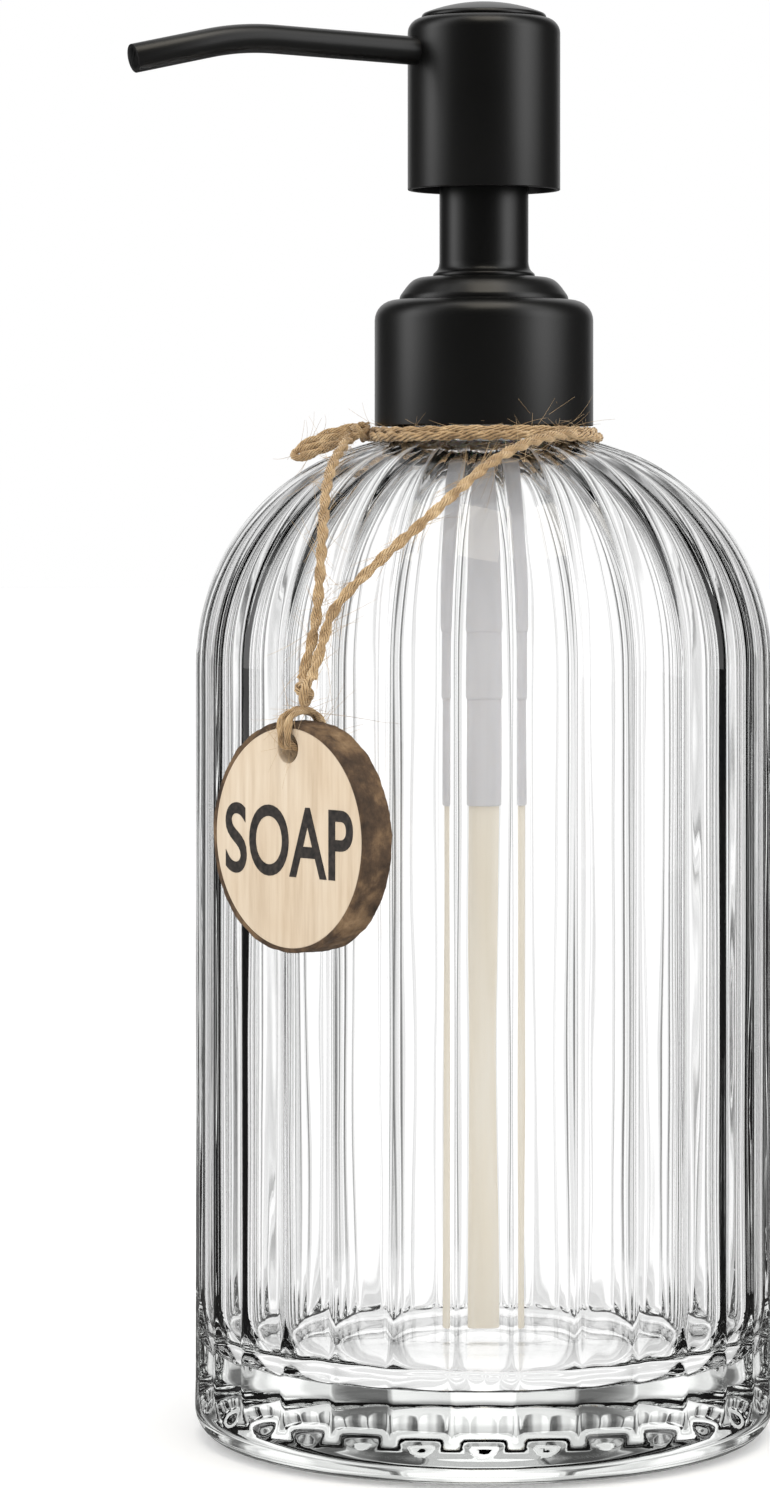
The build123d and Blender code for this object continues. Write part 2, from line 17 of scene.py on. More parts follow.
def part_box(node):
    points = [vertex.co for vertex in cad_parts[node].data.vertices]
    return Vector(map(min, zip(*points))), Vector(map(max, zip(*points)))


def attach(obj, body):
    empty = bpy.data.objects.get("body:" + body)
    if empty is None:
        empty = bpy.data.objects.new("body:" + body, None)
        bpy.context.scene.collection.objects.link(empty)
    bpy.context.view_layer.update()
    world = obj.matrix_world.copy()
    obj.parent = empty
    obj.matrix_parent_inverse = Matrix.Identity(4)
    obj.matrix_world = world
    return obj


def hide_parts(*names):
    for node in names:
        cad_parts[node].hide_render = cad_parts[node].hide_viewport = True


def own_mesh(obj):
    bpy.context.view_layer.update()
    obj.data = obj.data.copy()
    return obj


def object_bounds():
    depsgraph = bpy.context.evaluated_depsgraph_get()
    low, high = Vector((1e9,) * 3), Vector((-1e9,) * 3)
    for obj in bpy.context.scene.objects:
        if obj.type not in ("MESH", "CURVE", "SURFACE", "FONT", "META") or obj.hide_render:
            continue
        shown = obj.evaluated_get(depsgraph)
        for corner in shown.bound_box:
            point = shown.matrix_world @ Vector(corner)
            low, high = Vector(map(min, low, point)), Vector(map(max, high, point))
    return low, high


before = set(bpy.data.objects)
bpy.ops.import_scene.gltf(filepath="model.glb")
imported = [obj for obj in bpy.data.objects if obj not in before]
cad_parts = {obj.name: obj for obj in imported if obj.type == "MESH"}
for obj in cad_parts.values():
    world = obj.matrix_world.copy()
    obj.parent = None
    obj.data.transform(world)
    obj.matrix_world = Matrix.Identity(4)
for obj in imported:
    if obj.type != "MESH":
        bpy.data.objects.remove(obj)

MM = 0.001
cad_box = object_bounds()
print("size of the engineering model in mm:", [round(s / MM, 1) for s in cad_box[1] - cad_box[0]])

# %% [markdown]
# ## Camera
#
# A tall object on a table is drawn best with a level camera at the height of its upper third: then its
# vertical lines stay parallel, and a lens shift, not a tilt, brings the base into the frame. The
# camera comes first, because the length of every free cord is checked against its view.

# %% Camera
VIEW_AZIMUTH = math.radians(-26)
CAMERA_DISTANCE = 0.6545
CAMERA_HEIGHT = 0.1313
towards_camera = Vector((math.sin(VIEW_AZIMUTH), -math.cos(VIEW_AZIMUTH), 0))


def show(thing):
    """Puts an object in the scene."""
    bpy.context.scene.collection.objects.link(thing)


camera_data = bpy.data.cameras.new("camera")
camera_data.sensor_width = 36
camera_data.lens = 112.4
camera_data.shift_x = -0.0665
camera_data.shift_y = -0.166
camera_data.clip_start = 0.01
camera = bpy.data.objects.new("camera", camera_data)
camera.location = towards_camera * CAMERA_DISTANCE + Vector((0, 0, CAMERA_HEIGHT))
camera.rotation_euler = (math.radians(90), 0, VIEW_AZIMUTH)
show(camera)
bpy.context.scene.camera = camera

# %% [markdown]
# ## Small helpers
#
# Most parts of a pump are turned on a lathe or moulded round an axis. So the main helper draws half
# a section as one face, rounds its corners by bevelling them, and spins the outline into a closed
# shell. Every finished piece is then handed to its body, and takes its CAD node's place.

# %% Helpers for pieces
def mesh_piece(name, mesh, material, body, slot, *nodes):
    """Shows a mesh as one piece that moves with a body and stands for the given CAD nodes."""
    mesh.materials.clear()
    mesh.materials.append(material)
    piece = bpy.data.objects.new(name, mesh)
    show(piece)
    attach(piece, body)
    if nodes:
        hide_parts(*nodes)
    print(f"{name}: {sum(len(p.vertices) - 2 for p in mesh.polygons)} triangles")
    return piece


def mesh_from(name, bm, sharp_degrees=35):
    """Writes a bmesh to a smooth mesh, with edges that turn more than the given angle left sharp."""
    mesh = bpy.data.meshes.new(name)
    bm.to_mesh(mesh)
    bm.free()
    mesh.shade_smooth()
    mesh.set_sharp_from_angle(angle=math.radians(sharp_degrees))
    return mesh


def bmesh_piece(name, bm, material, body, slot, *nodes, sharp_degrees=35):
    """Shows a bmesh as a piece."""
    return mesh_piece(name, mesh_from(name, bm, sharp_degrees), material, body, slot, *nodes)


def ease(bm, geom, width, segments, affect="EDGES"):
    """Rounds the given edges or corners of a bmesh, over a width in metres."""
    bmesh.ops.bevel(
        bm, geom=geom, offset=width, offset_type="OFFSET", segments=segments, profile=0.5, affect=affect,
        material=-1,
    )


def spin_round(bm, steps):
    """Spins everything in a bmesh once round the Z axis and closes the seam."""
    bmesh.ops.spin(
        bm, geom=bm.verts[:] + bm.edges[:], cent=(0, 0, 0), axis=(0, 0, 1), dvec=(0, 0, 0),
        angle=math.tau, steps=steps, use_merge=True,
    )
    bmesh.ops.remove_doubles(bm, verts=bm.verts, dist=1e-7)
    bmesh.ops.recalc_face_normals(bm, faces=bm.faces)


def turned(outline, steps=144, rounding_segments=5):
    """A part turned about Z, from the corners (radius, height, rounding) of half its section in mm."""
    bm = bmesh.new()
    corners = [bm.verts.new((radius * MM, 0, height * MM)) for radius, height, _ in outline]
    bm.faces.new(corners)
    for corner, (_, _, rounding) in zip(corners, outline):
        if rounding:
            ease(bm, [corner], rounding * MM, rounding_segments, "VERTICES")
    bmesh.ops.delete(bm, geom=bm.faces[:], context="FACES_ONLY")
    on_axis = [e for e in bm.edges if all(abs(v.co.x) < 1e-8 for v in e.verts)]
    bmesh.ops.delete(bm, geom=on_axis, context="EDGES")
    spin_round(bm, steps)
    return bm


def reach(node):
    """Radius, lowest and highest point of a round CAD node, in mm."""
    low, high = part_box(node)
    return high.y / MM, low.z / MM, high.z / MM


# %% [markdown]
# ## Helpers for materials
#
# Each finish is a small node tree on a Principled shader. Patterns read Object coordinates, in metres,
# so a scale of 1000 makes features about a millimetre across. Values that are the same all over a
# surface are set on the shader itself.

# %% Helpers for materials
def new_material(name, **values):
    """A Principled material with constant values, given by the names of the shader's sockets."""
    material = bpy.data.materials.new(name)
    material.use_nodes = True
    shader = material.node_tree.nodes["Principled BSDF"]
    for socket, value in values.items():
        shader.inputs[socket.replace("_", " ")].default_value = value
    return material, shader


def add_node(material, kind, **settings):
    """Adds a node, and sets its properties and, by their names, its inputs."""
    made = material.node_tree.nodes.new(kind)
    for key, value in settings.items():
        if hasattr(made, key):
            setattr(made, key, value)
        else:
            made.inputs[key.replace("_", " ")].default_value = value
    return made


def link(material, out_socket, in_socket):
    material.node_tree.links.new(out_socket, in_socket)


def object_noise(material, stretch=(1, 1, 1), turn=(0, 0, 0), **settings):
    """Noise on Object coordinates, stretched and turned by a Mapping node."""
    place = add_node(material, "ShaderNodeTexCoord")
    mapping = add_node(material, "ShaderNodeMapping", Scale=stretch, Rotation=turn)
    texture = add_node(material, "ShaderNodeTexNoise", **settings)
    link(material, place.outputs["Object"], mapping.inputs["Vector"])
    link(material, mapping.outputs["Vector"], texture.inputs["Vector"])
    return texture.outputs["Fac"]


def ramp(material, source, *stops):
    """A colour ramp after a value, with stops of (position, colour)."""
    made = add_node(material, "ShaderNodeValToRGB")
    elements = made.color_ramp.elements
    while len(elements) < len(stops):
        elements.new(0.5)
    for element, (position, colour) in zip(elements, stops):
        element.position = position
        element.color = (*colour, 1)
    link(material, source, made.inputs["Fac"])
    return made.outputs["Color"]


def colour(material, shader, pattern, *stops):
    """The base colour, as a ramp over a pattern."""
    link(material, ramp(material, pattern, *stops), shader.inputs["Base Color"])


def spread(material, source, low, high):
    """Maps a value of 0 to 1 onto a range."""
    made = add_node(material, "ShaderNodeMapRange", To_Min=low, To_Max=high)
    link(material, source, made.inputs["Value"])
    return made.outputs["Result"]


def roughen(material, shader, height, depth_mm, strength=1.0):
    """A bump whose height runs over depth_mm."""
    made = add_node(material, "ShaderNodeBump", Strength=strength, Distance=depth_mm * MM)
    link(material, height, made.inputs["Height"])
    link(material, made.outputs["Normal"], shader.inputs["Normal"])


# %% [markdown]
# ## Jute twine
#
# Jute twine is two plies laid round each other, and each ply is a twist of coarse golden-brown yarns.
# A smooth tube with a texture looks like wire, so the yarns are modelled: each one follows a helix
# inside a helix along the twine's line, and loose fibres stand off it. The line itself is a smooth
# spline through the same points as the twine of the engineering model.

# %% Material of the twine
jute, jute_shader = new_material("jute_twine", Roughness=0.86, Sheen_Weight=0.25, Sheen_Roughness=0.6)
jute_tone = object_noise(jute, Scale=420.0, Detail=4.0, Roughness=0.65)
JUTE_COLOURS = ((0.28, (0.23, 0.135, 0.055)), (0.5, (0.44, 0.29, 0.14)), (0.72, (0.66, 0.49, 0.28)))
colour(jute, jute_shader, jute_tone, *JUTE_COLOURS)
jute_fibre = object_noise(jute, Scale=4200.0, Detail=3.0)
roughen(jute, jute_shader, jute_fibre, 0.06, 0.7)

# %% The line of a twine
def mesh_of_curve(name, curve):
    """A mesh with a curve's or a word's shape. The curve is removed."""
    holder = bpy.data.objects.new(name, curve)
    mesh = bpy.data.meshes.new_from_object(holder)
    bpy.data.objects.remove(holder)
    bpy.data.curves.remove(curve)
    mesh.name = name
    return mesh


def twine_line(route):
    """Points along a smooth spline whose control points are a route in mm."""
    curve = bpy.data.curves.new("line", "CURVE")
    curve.dimensions = "3D"
    spline = curve.splines.new("NURBS")
    spline.points.add(len(route) - 1)
    for point, place in zip(spline.points, route):
        point.co = (*(Vector(place) * MM), 1)
    spline.order_u = 3
    spline.use_endpoint_u = True
    spline.resolution_u = 24
    mesh = mesh_of_curve("line", curve)
    points = [v.co.copy() for v in mesh.vertices]
    bpy.data.meshes.remove(mesh)
    return points


def evenly(points, step):
    """The same line with points a fixed step apart."""
    spaced, travelled = [points[0]], 0.0
    for start, end in zip(points, points[1:]):
        run = (end - start).length
        while travelled + run >= step:
            share = (step - travelled) / run
            start = start.lerp(end, share)
            spaced.append(start)
            run = (end - start).length
            travelled = 0.0
        travelled += run
    spaced.append(points[-1])
    return spaced


def line_length(points):
    return sum((b - a).length for a, b in zip(points, points[1:]))


def frames_along(points):
    """At each point, the line's direction and two directions across it that turn as little as they can."""
    frames = []
    across = Vector((0.31, 0.17, 0.94))
    for i, point in enumerate(points):
        along = (points[min(i + 1, len(points) - 1)] - points[max(i - 1, 0)]).normalized()
        across = (across - along * across.dot(along)).normalized()
        frames.append((point, along, across, along.cross(across)))
    return frames


# %% Yarns and loose fibres
dice = random.Random(11)
YARN_STEP = 0.32 * MM
PLY_OFF, YARN_OFF, YARN_FILL = 0.17, 0.22, 0.62      # shares of the twine's width
PLIES, LAY = 2, 6.4 * MM                             # the lay is the length of one turn of the plies
COUNTER_TWIST = 1.6                                  # turns of a ply's yarns for each turn of the plies
FIBRE_RADIUS, FIBRE_BENDS = 0.032 * MM, 5


def twisted(name, line, width, yarns=7, closed=False):
    """A twine of a given width in mm: yarns twisted into plies, and the plies round each other."""
    points = evenly(line, YARN_STEP)
    ply_off = width * PLY_OFF * MM
    yarn_off = width * YARN_OFF * MM
    yarn_radius = width * (YARN_FILL / (yarns + 1)) * MM
    curve = bpy.data.curves.new(name, "CURVE")
    curve.dimensions = "3D"
    curve.bevel_depth = yarn_radius
    curve.bevel_resolution = 1
    curve.use_fill_caps = True
    around = frames_along(points)
    turns = line_length(line) / LAY
    if closed:
        turns = round(turns)
    for ply in range(PLIES):
        for yarn in range(yarns):
            spline = curve.splines.new("POLY")
            spline.points.add(len(points) - 1)
            for i, (point, _, across, aside) in enumerate(around):
                share = i / (len(points) - 1)
                turn = math.tau * (turns * share + ply / PLIES)
                counter = math.tau * (yarn / yarns - COUNTER_TWIST * turns * share)
                loose = 1 + 0.25 * noise.noise(point * 900 + Vector((ply * 3.1, yarn * 1.7, 0)))
                place = point + (across * math.cos(turn) + aside * math.sin(turn)) * ply_off
                place += (across * math.cos(counter) + aside * math.sin(counter)) * yarn_off * loose
                spline.points[i].co = (*place, 1)
                spline.points[i].radius = 1 + 0.22 * noise.noise(place * 1400)
    mesh = mesh_of_curve(name, curve)
    mesh.shade_smooth()
    return mesh


def fuzz(name, lines, width, per_mm=3.2, longest=8.0):
    """Loose fibres that stand off one or more twines."""
    curve = bpy.data.curves.new(name, "CURVE")
    curve.dimensions = "3D"
    curve.bevel_depth = FIBRE_RADIUS
    curve.bevel_resolution = 0
    for line in lines:
        around = frames_along(evenly(line, YARN_STEP))
        for _ in range(round(line_length(line) / MM * per_mm)):
            point, along, across, aside = dice.choice(around)
            spin = dice.uniform(0, math.tau)
            outward = across * math.cos(spin) + aside * math.sin(spin)
            reach_out = (along * dice.choice((-1, 1)) + outward * dice.uniform(0.2, 0.9)).normalized()
            bend = Vector([dice.uniform(-0.5, 0.5) for _ in range(3)])
            length = dice.uniform(1.2, longest) * dice.uniform(0.4, 1.0) * MM
            place = point + outward * width * 0.42 * MM
            spline = curve.splines.new("POLY")
            spline.points.add(FIBRE_BENDS)
            for i, node in enumerate(spline.points):
                share = i / FIBRE_BENDS
                step = reach_out * share + bend * share * share * 0.6
                node.co = (*(place + step * length), 1)
                node.radius = 1 - 0.6 * share
    return mesh_of_curve(name, curve)


# %% [markdown]
# ## The two strands over the shoulder
#
# From the turns round the neck one strand drops on the left and one comes across from the right. They
# lie on the glass, meet above the tag and carry it. Both are limp, and the tag's weight keeps them taut.

# %% Strands
TWINE_WIDTH = 1.7
LEFT_STRAND = [
    (-19.4, 2.8, 139.6), (-25.0, -4.4, 137.0), (-29.2, -10.8, 132.6), (-32.2, -16.6, 127.0),
    (-34.5, -20.6, 119.6), (-35.9, -22.2, 112.6), (-38.1, -22.9, 107.3),
]
RIGHT_STRAND = [
    (6.7, -15.1, 140.1), (0.4, -19.0, 139.8), (-8.8, -23.6, 137.2), (-15.6, -26.4, 133.2),
    (-22.0, -27.8, 128.4), (-29.0, -26.6, 122.5), (-34.2, -23.8, 116.4), (-35.6, -24.0, 111.6),
    (-37.5, -24.8, 107.3),
]
LOOSE_END = [(-18.8, 5.2, 140.2), (-21.6, 7.4, 139.3), (-24.4, 8.4, 137.3)]
strand_lines = []
for name, route in (("twine_left", LEFT_STRAND), ("twine_right", RIGHT_STRAND)):
    line = twine_line(route)
    strand_lines.append(line)
    strand = mesh_piece(
        f"{name}_yarns", twisted(name, line, TWINE_WIDTH), jute, "bottle", "jute_twine", name
    )
    print(name, "is", round(line_length(line) / MM, 1), "mm long")

# %% [markdown]
# ## Turns round the neck, their knot and the loose end
#
# The twine goes round the neck under the collar and is tied on the left. A knot is a closed line that
# runs through itself: a trefoil, pulled small, reads as one from every side.

# %% Neck twine
CORE_RADIUS = 0.8
neck_low, neck_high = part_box("neck_twine")
neck_line_r = neck_high.x / MM - CORE_RADIUS
neck_line_z = (neck_low.z + neck_high.z) / 2 / MM


def circle_line(radius, height, wobble, count=180):
    """A closed ring of points round the Z axis, which rises and falls by its wobble. Sizes are in mm."""
    ring = []
    for i in range(count + 1):
        a = math.tau * i / count
        lift = wobble * math.sin(3 * a + 0.6)
        ring.append(Vector((radius * math.cos(a), radius * math.sin(a), height + lift)) * MM)
    return ring


def trefoil(centre, size, tilt):
    """A small closed knot about a centre in mm."""
    knot = []
    for i in range(121):
        a = math.tau * i / 120
        spot = Vector((
            math.sin(a) + 2 * math.cos(2 * a + math.pi / 2), math.cos(a) - 2 * math.cos(2 * a),
            -1.1 * math.sin(3 * a),
        ))
        knot.append((Vector(centre) + tilt @ (spot * size)) * MM)
    return knot


neck_line = circle_line(neck_line_r, neck_line_z, wobble=0.12)
lower_line = circle_line(neck_line_r + 1.5, neck_line_z - 0.45, wobble=0.1)
upper_line = circle_line(neck_line_r + 0.9, neck_line_z + 0.45, wobble=0.08)
neck_bm = bmesh.new()
for line, width in ((neck_line, 1.6), (lower_line, 1.5), (upper_line, 1.1)):
    neck_bm.from_mesh(twisted("neck_twine", line, width, yarns=4, closed=True))
bmesh_piece("neck_twine_yarns", neck_bm, jute, "bottle", "jute_twine", "neck_twine", sharp_degrees=180)
knot_low, knot_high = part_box("neck_knot")
knot_centre = (knot_low + knot_high) / 2 / MM
knot_line = trefoil(knot_centre, 0.42, Matrix.Rotation(0.9, 3, "X") @ Matrix.Rotation(0.4, 3, "Y"))
mesh_piece(
    "neck_knot_yarns", twisted("neck_knot", knot_line, 1.35, closed=True), jute, "bottle",
    "jute_twine", "neck_knot",
)
end_line = twine_line(LOOSE_END)
bight = [
    (-15.0, 6.0, 141.2), (-18.8, 6.0, 141.0), (-22.4, 8.2, 139.6), (-25.2, 9.2, 137.6), (-25.6, 8.4, 136.6),
    (-23.8, 6.4, 137.2), (-21.0, 3.6, 138.9), (-18.6, 1.8, 139.9),
]
end_bm = bmesh.new()
end_bm.from_mesh(twisted("twine_end", twine_line(bight), 1.5))
end_bm.from_mesh(twisted("twine_end_core", end_line, 1.6))
bmesh_piece("twine_end_yarns", end_bm, jute, "bottle", "jute_twine", "twine_end", sharp_degrees=180)
mesh_piece(
    "bottle_twine_fuzz", fuzz("bottle_twine_fuzz", [*strand_lines, neck_line, end_line], TWINE_WIDTH),
    jute, "bottle", "jute_twine",
)

# %% [markdown]
# ## The tag
#
# A slice of a birch branch, sanded on both faces, with its bark left on. The face is one cut across
# the grain: almost white, with faint rays and rings. The tag has a frame of its own: it faces round the
# bottle by a fixed angle, and its middle lies aside of that direction. A Mapping node turns the patterns
# into that frame.

# %% Frame of the tag
TAG_FACING = math.radians(-162.5)
facing = Vector((math.cos(TAG_FACING), math.sin(TAG_FACING), 0))
aside = Vector((-facing.y, facing.x, 0))
up = Vector((0, 0, 1))
tag_points = [v.co.copy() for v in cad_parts["tag_bark"].data.vertices]
tag_outs = [p.dot(facing) for p in tag_points]
tag_sides = [p.dot(aside) for p in tag_points]
tag_heights = [p.z for p in tag_points]
tag_back, tag_front = min(tag_outs), max(tag_outs)
tag_radius = (max(tag_heights) - min(tag_heights)) / 2
tag_centre = (
    facing * tag_back + aside * (min(tag_sides) + max(tag_sides)) / 2
    + up * (max(tag_heights) + min(tag_heights)) / 2
)
tag_thickness = tag_front - tag_back
HOLE_UP, HOLE_R, BARK_THICKNESS = 11.9 * MM, 2.0 * MM, 0.9 * MM
tag_place = Matrix.Translation(tag_centre) @ Matrix((
    (aside.x, up.x, facing.x, 0), (aside.y, up.y, facing.y, 0), (aside.z, up.z, facing.z, 0), (0, 0, 0, 1)
))
print("tag is", round(2 * tag_radius / MM, 1), "mm across and", round(tag_thickness / MM, 1), "mm thick")

# %% Wood and bark
wood, wood_shader = new_material("pale_wood", Roughness=0.62)
TAG_TURN = (0.0, 0.0, -TAG_FACING)
grain = object_noise(wood, stretch=(60, 900, 60), turn=TAG_TURN, Scale=1.0, Detail=5.0, Roughness=0.6)
flecks = object_noise(wood, stretch=(300, 2600, 260), turn=TAG_TURN, Scale=1.0, Detail=3.0)
clouds = object_noise(wood, Scale=90.0, Detail=2.0)
wood_base = ramp(
    wood, grain, (0.25, (0.53, 0.42, 0.30)), (0.5, (0.63, 0.52, 0.39)),
    (0.75, (0.70, 0.60, 0.47)),
)
wood_clouds = ramp(wood, clouds, (0.3, (0.93, 0.89, 0.84)), (0.7, (1.0, 1.0, 1.0)))
wood_mix = add_node(wood, "ShaderNodeMix", data_type="RGBA", blend_type="MULTIPLY")
wood_mix.inputs["Factor"].default_value = 1.0
link(wood, wood_base, wood_mix.inputs[6])
link(wood, wood_clouds, wood_mix.inputs[7])
link(wood, wood_mix.outputs[2], wood_shader.inputs["Base Color"])
roughen(wood, wood_shader, flecks, 0.05, 0.5)

bark, bark_shader = new_material("bark", Roughness=0.8)
bark_patches = object_noise(bark, Scale=210.0, Detail=6.0, Roughness=0.68)
colour(
    bark, bark_shader, bark_patches, (0.30, (0.022, 0.012, 0.006)), (0.47, (0.075, 0.042, 0.020)),
    (0.60, (0.16, 0.095, 0.045)), (0.78, (0.32, 0.21, 0.11)),
)
bark_cracks = object_noise(bark, stretch=(1, 1, 0.4), Scale=900.0, Detail=5.0)
roughen(bark, bark_shader, bark_cracks, 0.25, 0.9)

# %% Wooden slice
def disc_with_hole(radius, depth, hole_radius, hole_up, edge):
    """A disc in its own frame, lying in XY with its back at z 0, with a drilled hole and eased edges."""
    bm = bmesh.new()
    rim = bmesh.ops.create_circle(bm, cap_ends=False, segments=128, radius=radius)["verts"]
    shift = Matrix.Translation((0, hole_up, 0))
    hole = bmesh.ops.create_circle(bm, cap_ends=False, segments=40, radius=hole_radius, matrix=shift)["verts"]
    bmesh.ops.triangle_fill(bm, use_beauty=True, use_dissolve=False, edges=bm.edges[:], normal=(0, 0, 1))
    hole_centre = Vector((0, hole_up, 0))
    inside = [f for f in bm.faces if (f.calc_center_median() - hole_centre).length < hole_radius * 0.9]
    bmesh.ops.delete(bm, geom=inside, context="FACES_ONLY")
    grown = bmesh.ops.extrude_face_region(bm, geom=bm.faces[:])["geom"]
    lifted = [g for g in grown if isinstance(g, bmesh.types.BMVert)]
    bmesh.ops.translate(bm, verts=lifted, vec=(0, 0, depth))
    bmesh.ops.recalc_face_normals(bm, faces=bm.faces)
    corners = [
        e for e in bm.edges
        if len(e.link_faces) == 2 and e.calc_face_angle() > 1.0
        and abs(e.verts[0].co.z - e.verts[1].co.z) < 1e-7
    ]
    ease(bm, corners, edge, 3)
    return bm


slice_bm = disc_with_hole(tag_radius - BARK_THICKNESS, tag_thickness, HOLE_R, HOLE_UP, 0.15 * MM)
bmesh.ops.transform(slice_bm, matrix=tag_place, verts=slice_bm.verts)
bmesh_piece("wooden_slice", slice_bm, wood, "tag", "pale_wood", "wooden_tag")

# %% [markdown]
# ## Bark
#
# The bark is a thin band with a rough, uneven outside. A spun band has vertices enough to push
# them in and out by noise, which a bump on a smooth band could not do at its outline.

# %% Bark band
bark_in, bark_out, bark_wide = (tag_radius - BARK_THICKNESS) / MM, tag_radius / MM, tag_thickness / MM
bark_bm = turned(
    [(bark_in, 0, 0), (bark_out, 0, 0.3), (bark_out, bark_wide, 0.3), (bark_in, bark_wide, 0)], steps=220
)
long_edges = [e for e in bark_bm.edges if abs(e.verts[0].co.z - e.verts[1].co.z) > 2 * MM]
bmesh.ops.subdivide_edges(bark_bm, edges=long_edges, cuts=14, use_grid_fill=True)
for vertex in bark_bm.verts:
    outward = Vector((vertex.co.x, vertex.co.y, 0))
    if outward.length > tag_radius - 0.45 * MM:
        rough = noise.fractal(vertex.co * 420, 0.8, 2.2, 4)
        wave = noise.noise(vertex.co * 95)
        vertex.co += outward.normalized() * (0.16 * rough + 0.22 * wave - 0.22) * MM
bmesh.ops.transform(bark_bm, matrix=tag_place, verts=bark_bm.verts)
bmesh_piece("bark_band", bark_bm, bark, "tag", "bark", "tag_bark", sharp_degrees=60)

# %% [markdown]
# ## Lettering
#
# The tag carries one plain word in dark ink. Blender's own plain typeface is set, given a film of
# thickness, and made a mesh that lies on the wood.

# %% Lettering
ink, ink_shader = new_material("dark_ink", Roughness=0.7)
ink_wear = object_noise(ink, Scale=1500.0, Detail=4.0)
colour(ink, ink_shader, ink_wear, (0.3, (0.012, 0.010, 0.009)), (0.8, (0.055, 0.042, 0.034)))

letters = bpy.data.curves.new("word", "FONT")
letters.body = "SOAP"
letters.align_x = "CENTER"
letters.align_y = "CENTER"
letters.size = 10.5 * MM
letters.offset = 0.14 * MM
letters.extrude = 0.03 * MM
letters.resolution_u = 8
word = mesh_of_curve("word", letters)
LETTER_STRETCH, BELOW_MIDDLE, OFF_THE_WOOD = 1.24, 1.0 * MM, 0.02 * MM
word.transform(Matrix.Diagonal((1.0, LETTER_STRETCH, 1, 1)))
word.transform(tag_place @ Matrix.Translation((0, -BELOW_MIDDLE, tag_thickness + OFF_THE_WOOD)))
mesh_piece("tag_word", word, ink, "tag", "pale_wood")

# %% [markdown]
# ## Loop and knot of the tag
#
# The twine goes through the hole and over the edge of the slice, and is knotted above it.

# %% Tag loop and knot
loop_low = tag_centre.z / MM + HOLE_UP / MM
loop_high = (tag_centre.z + tag_radius) / MM + 1.15
loop_front, loop_back = tag_front / MM + 0.75, tag_back / MM - 0.75
tag_aside = tag_centre.dot(aside) / MM


loop_mid = (loop_front + loop_back) / 2
LOOP_ROUTE = [      # out along the tag's facing, share of the side step, height
    (loop_mid, 0.5, loop_low), (loop_front - 0.4, 0.6, loop_low), (loop_front, 1, loop_low + 1.8),
    (loop_front - 0.3, 1, loop_high - 0.6), (loop_mid, 0.6, loop_high + 0.5),
    (loop_back, 0.5, loop_high - 0.8), (loop_back, 0.5, loop_low + 1.2), (loop_mid, 0.5, loop_low),
]
tag_loop_lines = []
for side in (-0.75, 0.75):
    tag_loop_lines.append(twine_line([
        facing * out + aside * (tag_aside + side * share) + up * height for out, share, height in LOOP_ROUTE
    ]))
loop_bm = bmesh.new()
for line in tag_loop_lines:
    loop_bm.from_mesh(twisted("tag_loop", line, 1.25))
bmesh_piece("tag_loop_yarns", loop_bm, jute, "tag", "jute_twine", "tag_loop", sharp_degrees=180)
tag_knot_low, tag_knot_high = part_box("tag_knot")
tag_knot_centre = (tag_knot_low + tag_knot_high) / 2 / MM
tag_knot_line = trefoil(tag_knot_centre, 0.5, Matrix.Rotation(1.2, 3, "Y") @ Matrix.Rotation(0.5, 3, "X"))
knot_bm = bmesh.new()
knot_bm.from_mesh(twisted("tag_knot", tag_knot_line, 1.3, yarns=5, closed=True))
for ends in ((-38.1, -22.9, 107.6), (-37.5, -24.8, 107.6)):
    pull = twine_line([ends, tuple(tag_knot_centre + up * 1.2), tuple(tag_knot_centre - up * 2.4)])
    knot_bm.from_mesh(twisted("tag_knot_pull", pull, 1.5, yarns=5))
bmesh_piece("tag_knot_yarns", knot_bm, jute, "tag_hanger", "jute_twine", "tag_knot", sharp_degrees=180)
mesh_piece("tag_fuzz", fuzz("tag_fuzz", tag_loop_lines, 1.25, 3.0, 9.0), jute, "tag", "jute_twine")

# %% [markdown]
# ## Glass bottle
#
# The bottle is pressed glass: thirty shallow scoops run down the wall, end in round toes above the
# heel, and narrow with the shoulder towards the neck. Only real thickness refracts light the way
# glass does, so the mesh is one closed shell with an outer and an inner wall. A section is spun with
# sixteen steps to each flute. Then each outer vertex moves in by the depth of its flute, the
# neck's vertices move out by the thread, and the inner wall gets the slight waves that moulding leaves.

# %% Section of the bottle
bottle_r, _, finish_top = reach("glass_bottle")
SHOULDER_R, SHOULDER_Z, NECK_R, BORE_R, WALL = 31.8, 108.0, 12.6, 9.4, 3.2
FLOOR_Z, FLOOR_CORNER_R, HEEL_R, PUSH_UP = 11.5, 8.0, 4.0, 3.0
shoulder_centre = bottle_r - SHOULDER_R


def arc(centre_r, centre_z, radius, start, end, count):
    """Points on an arc of the section, from one angle to another in degrees, both included."""
    turns = [math.radians(start + (end - start) * i / count) for i in range(count + 1)]
    return [(centre_r + radius * math.cos(a), centre_z + radius * math.sin(a)) for a in turns]


def rise(radius, start, end, count):
    """Points up or down a straight wall, without its two ends."""
    return [(radius, start + (end - start) * i / count) for i in range(1, count)]


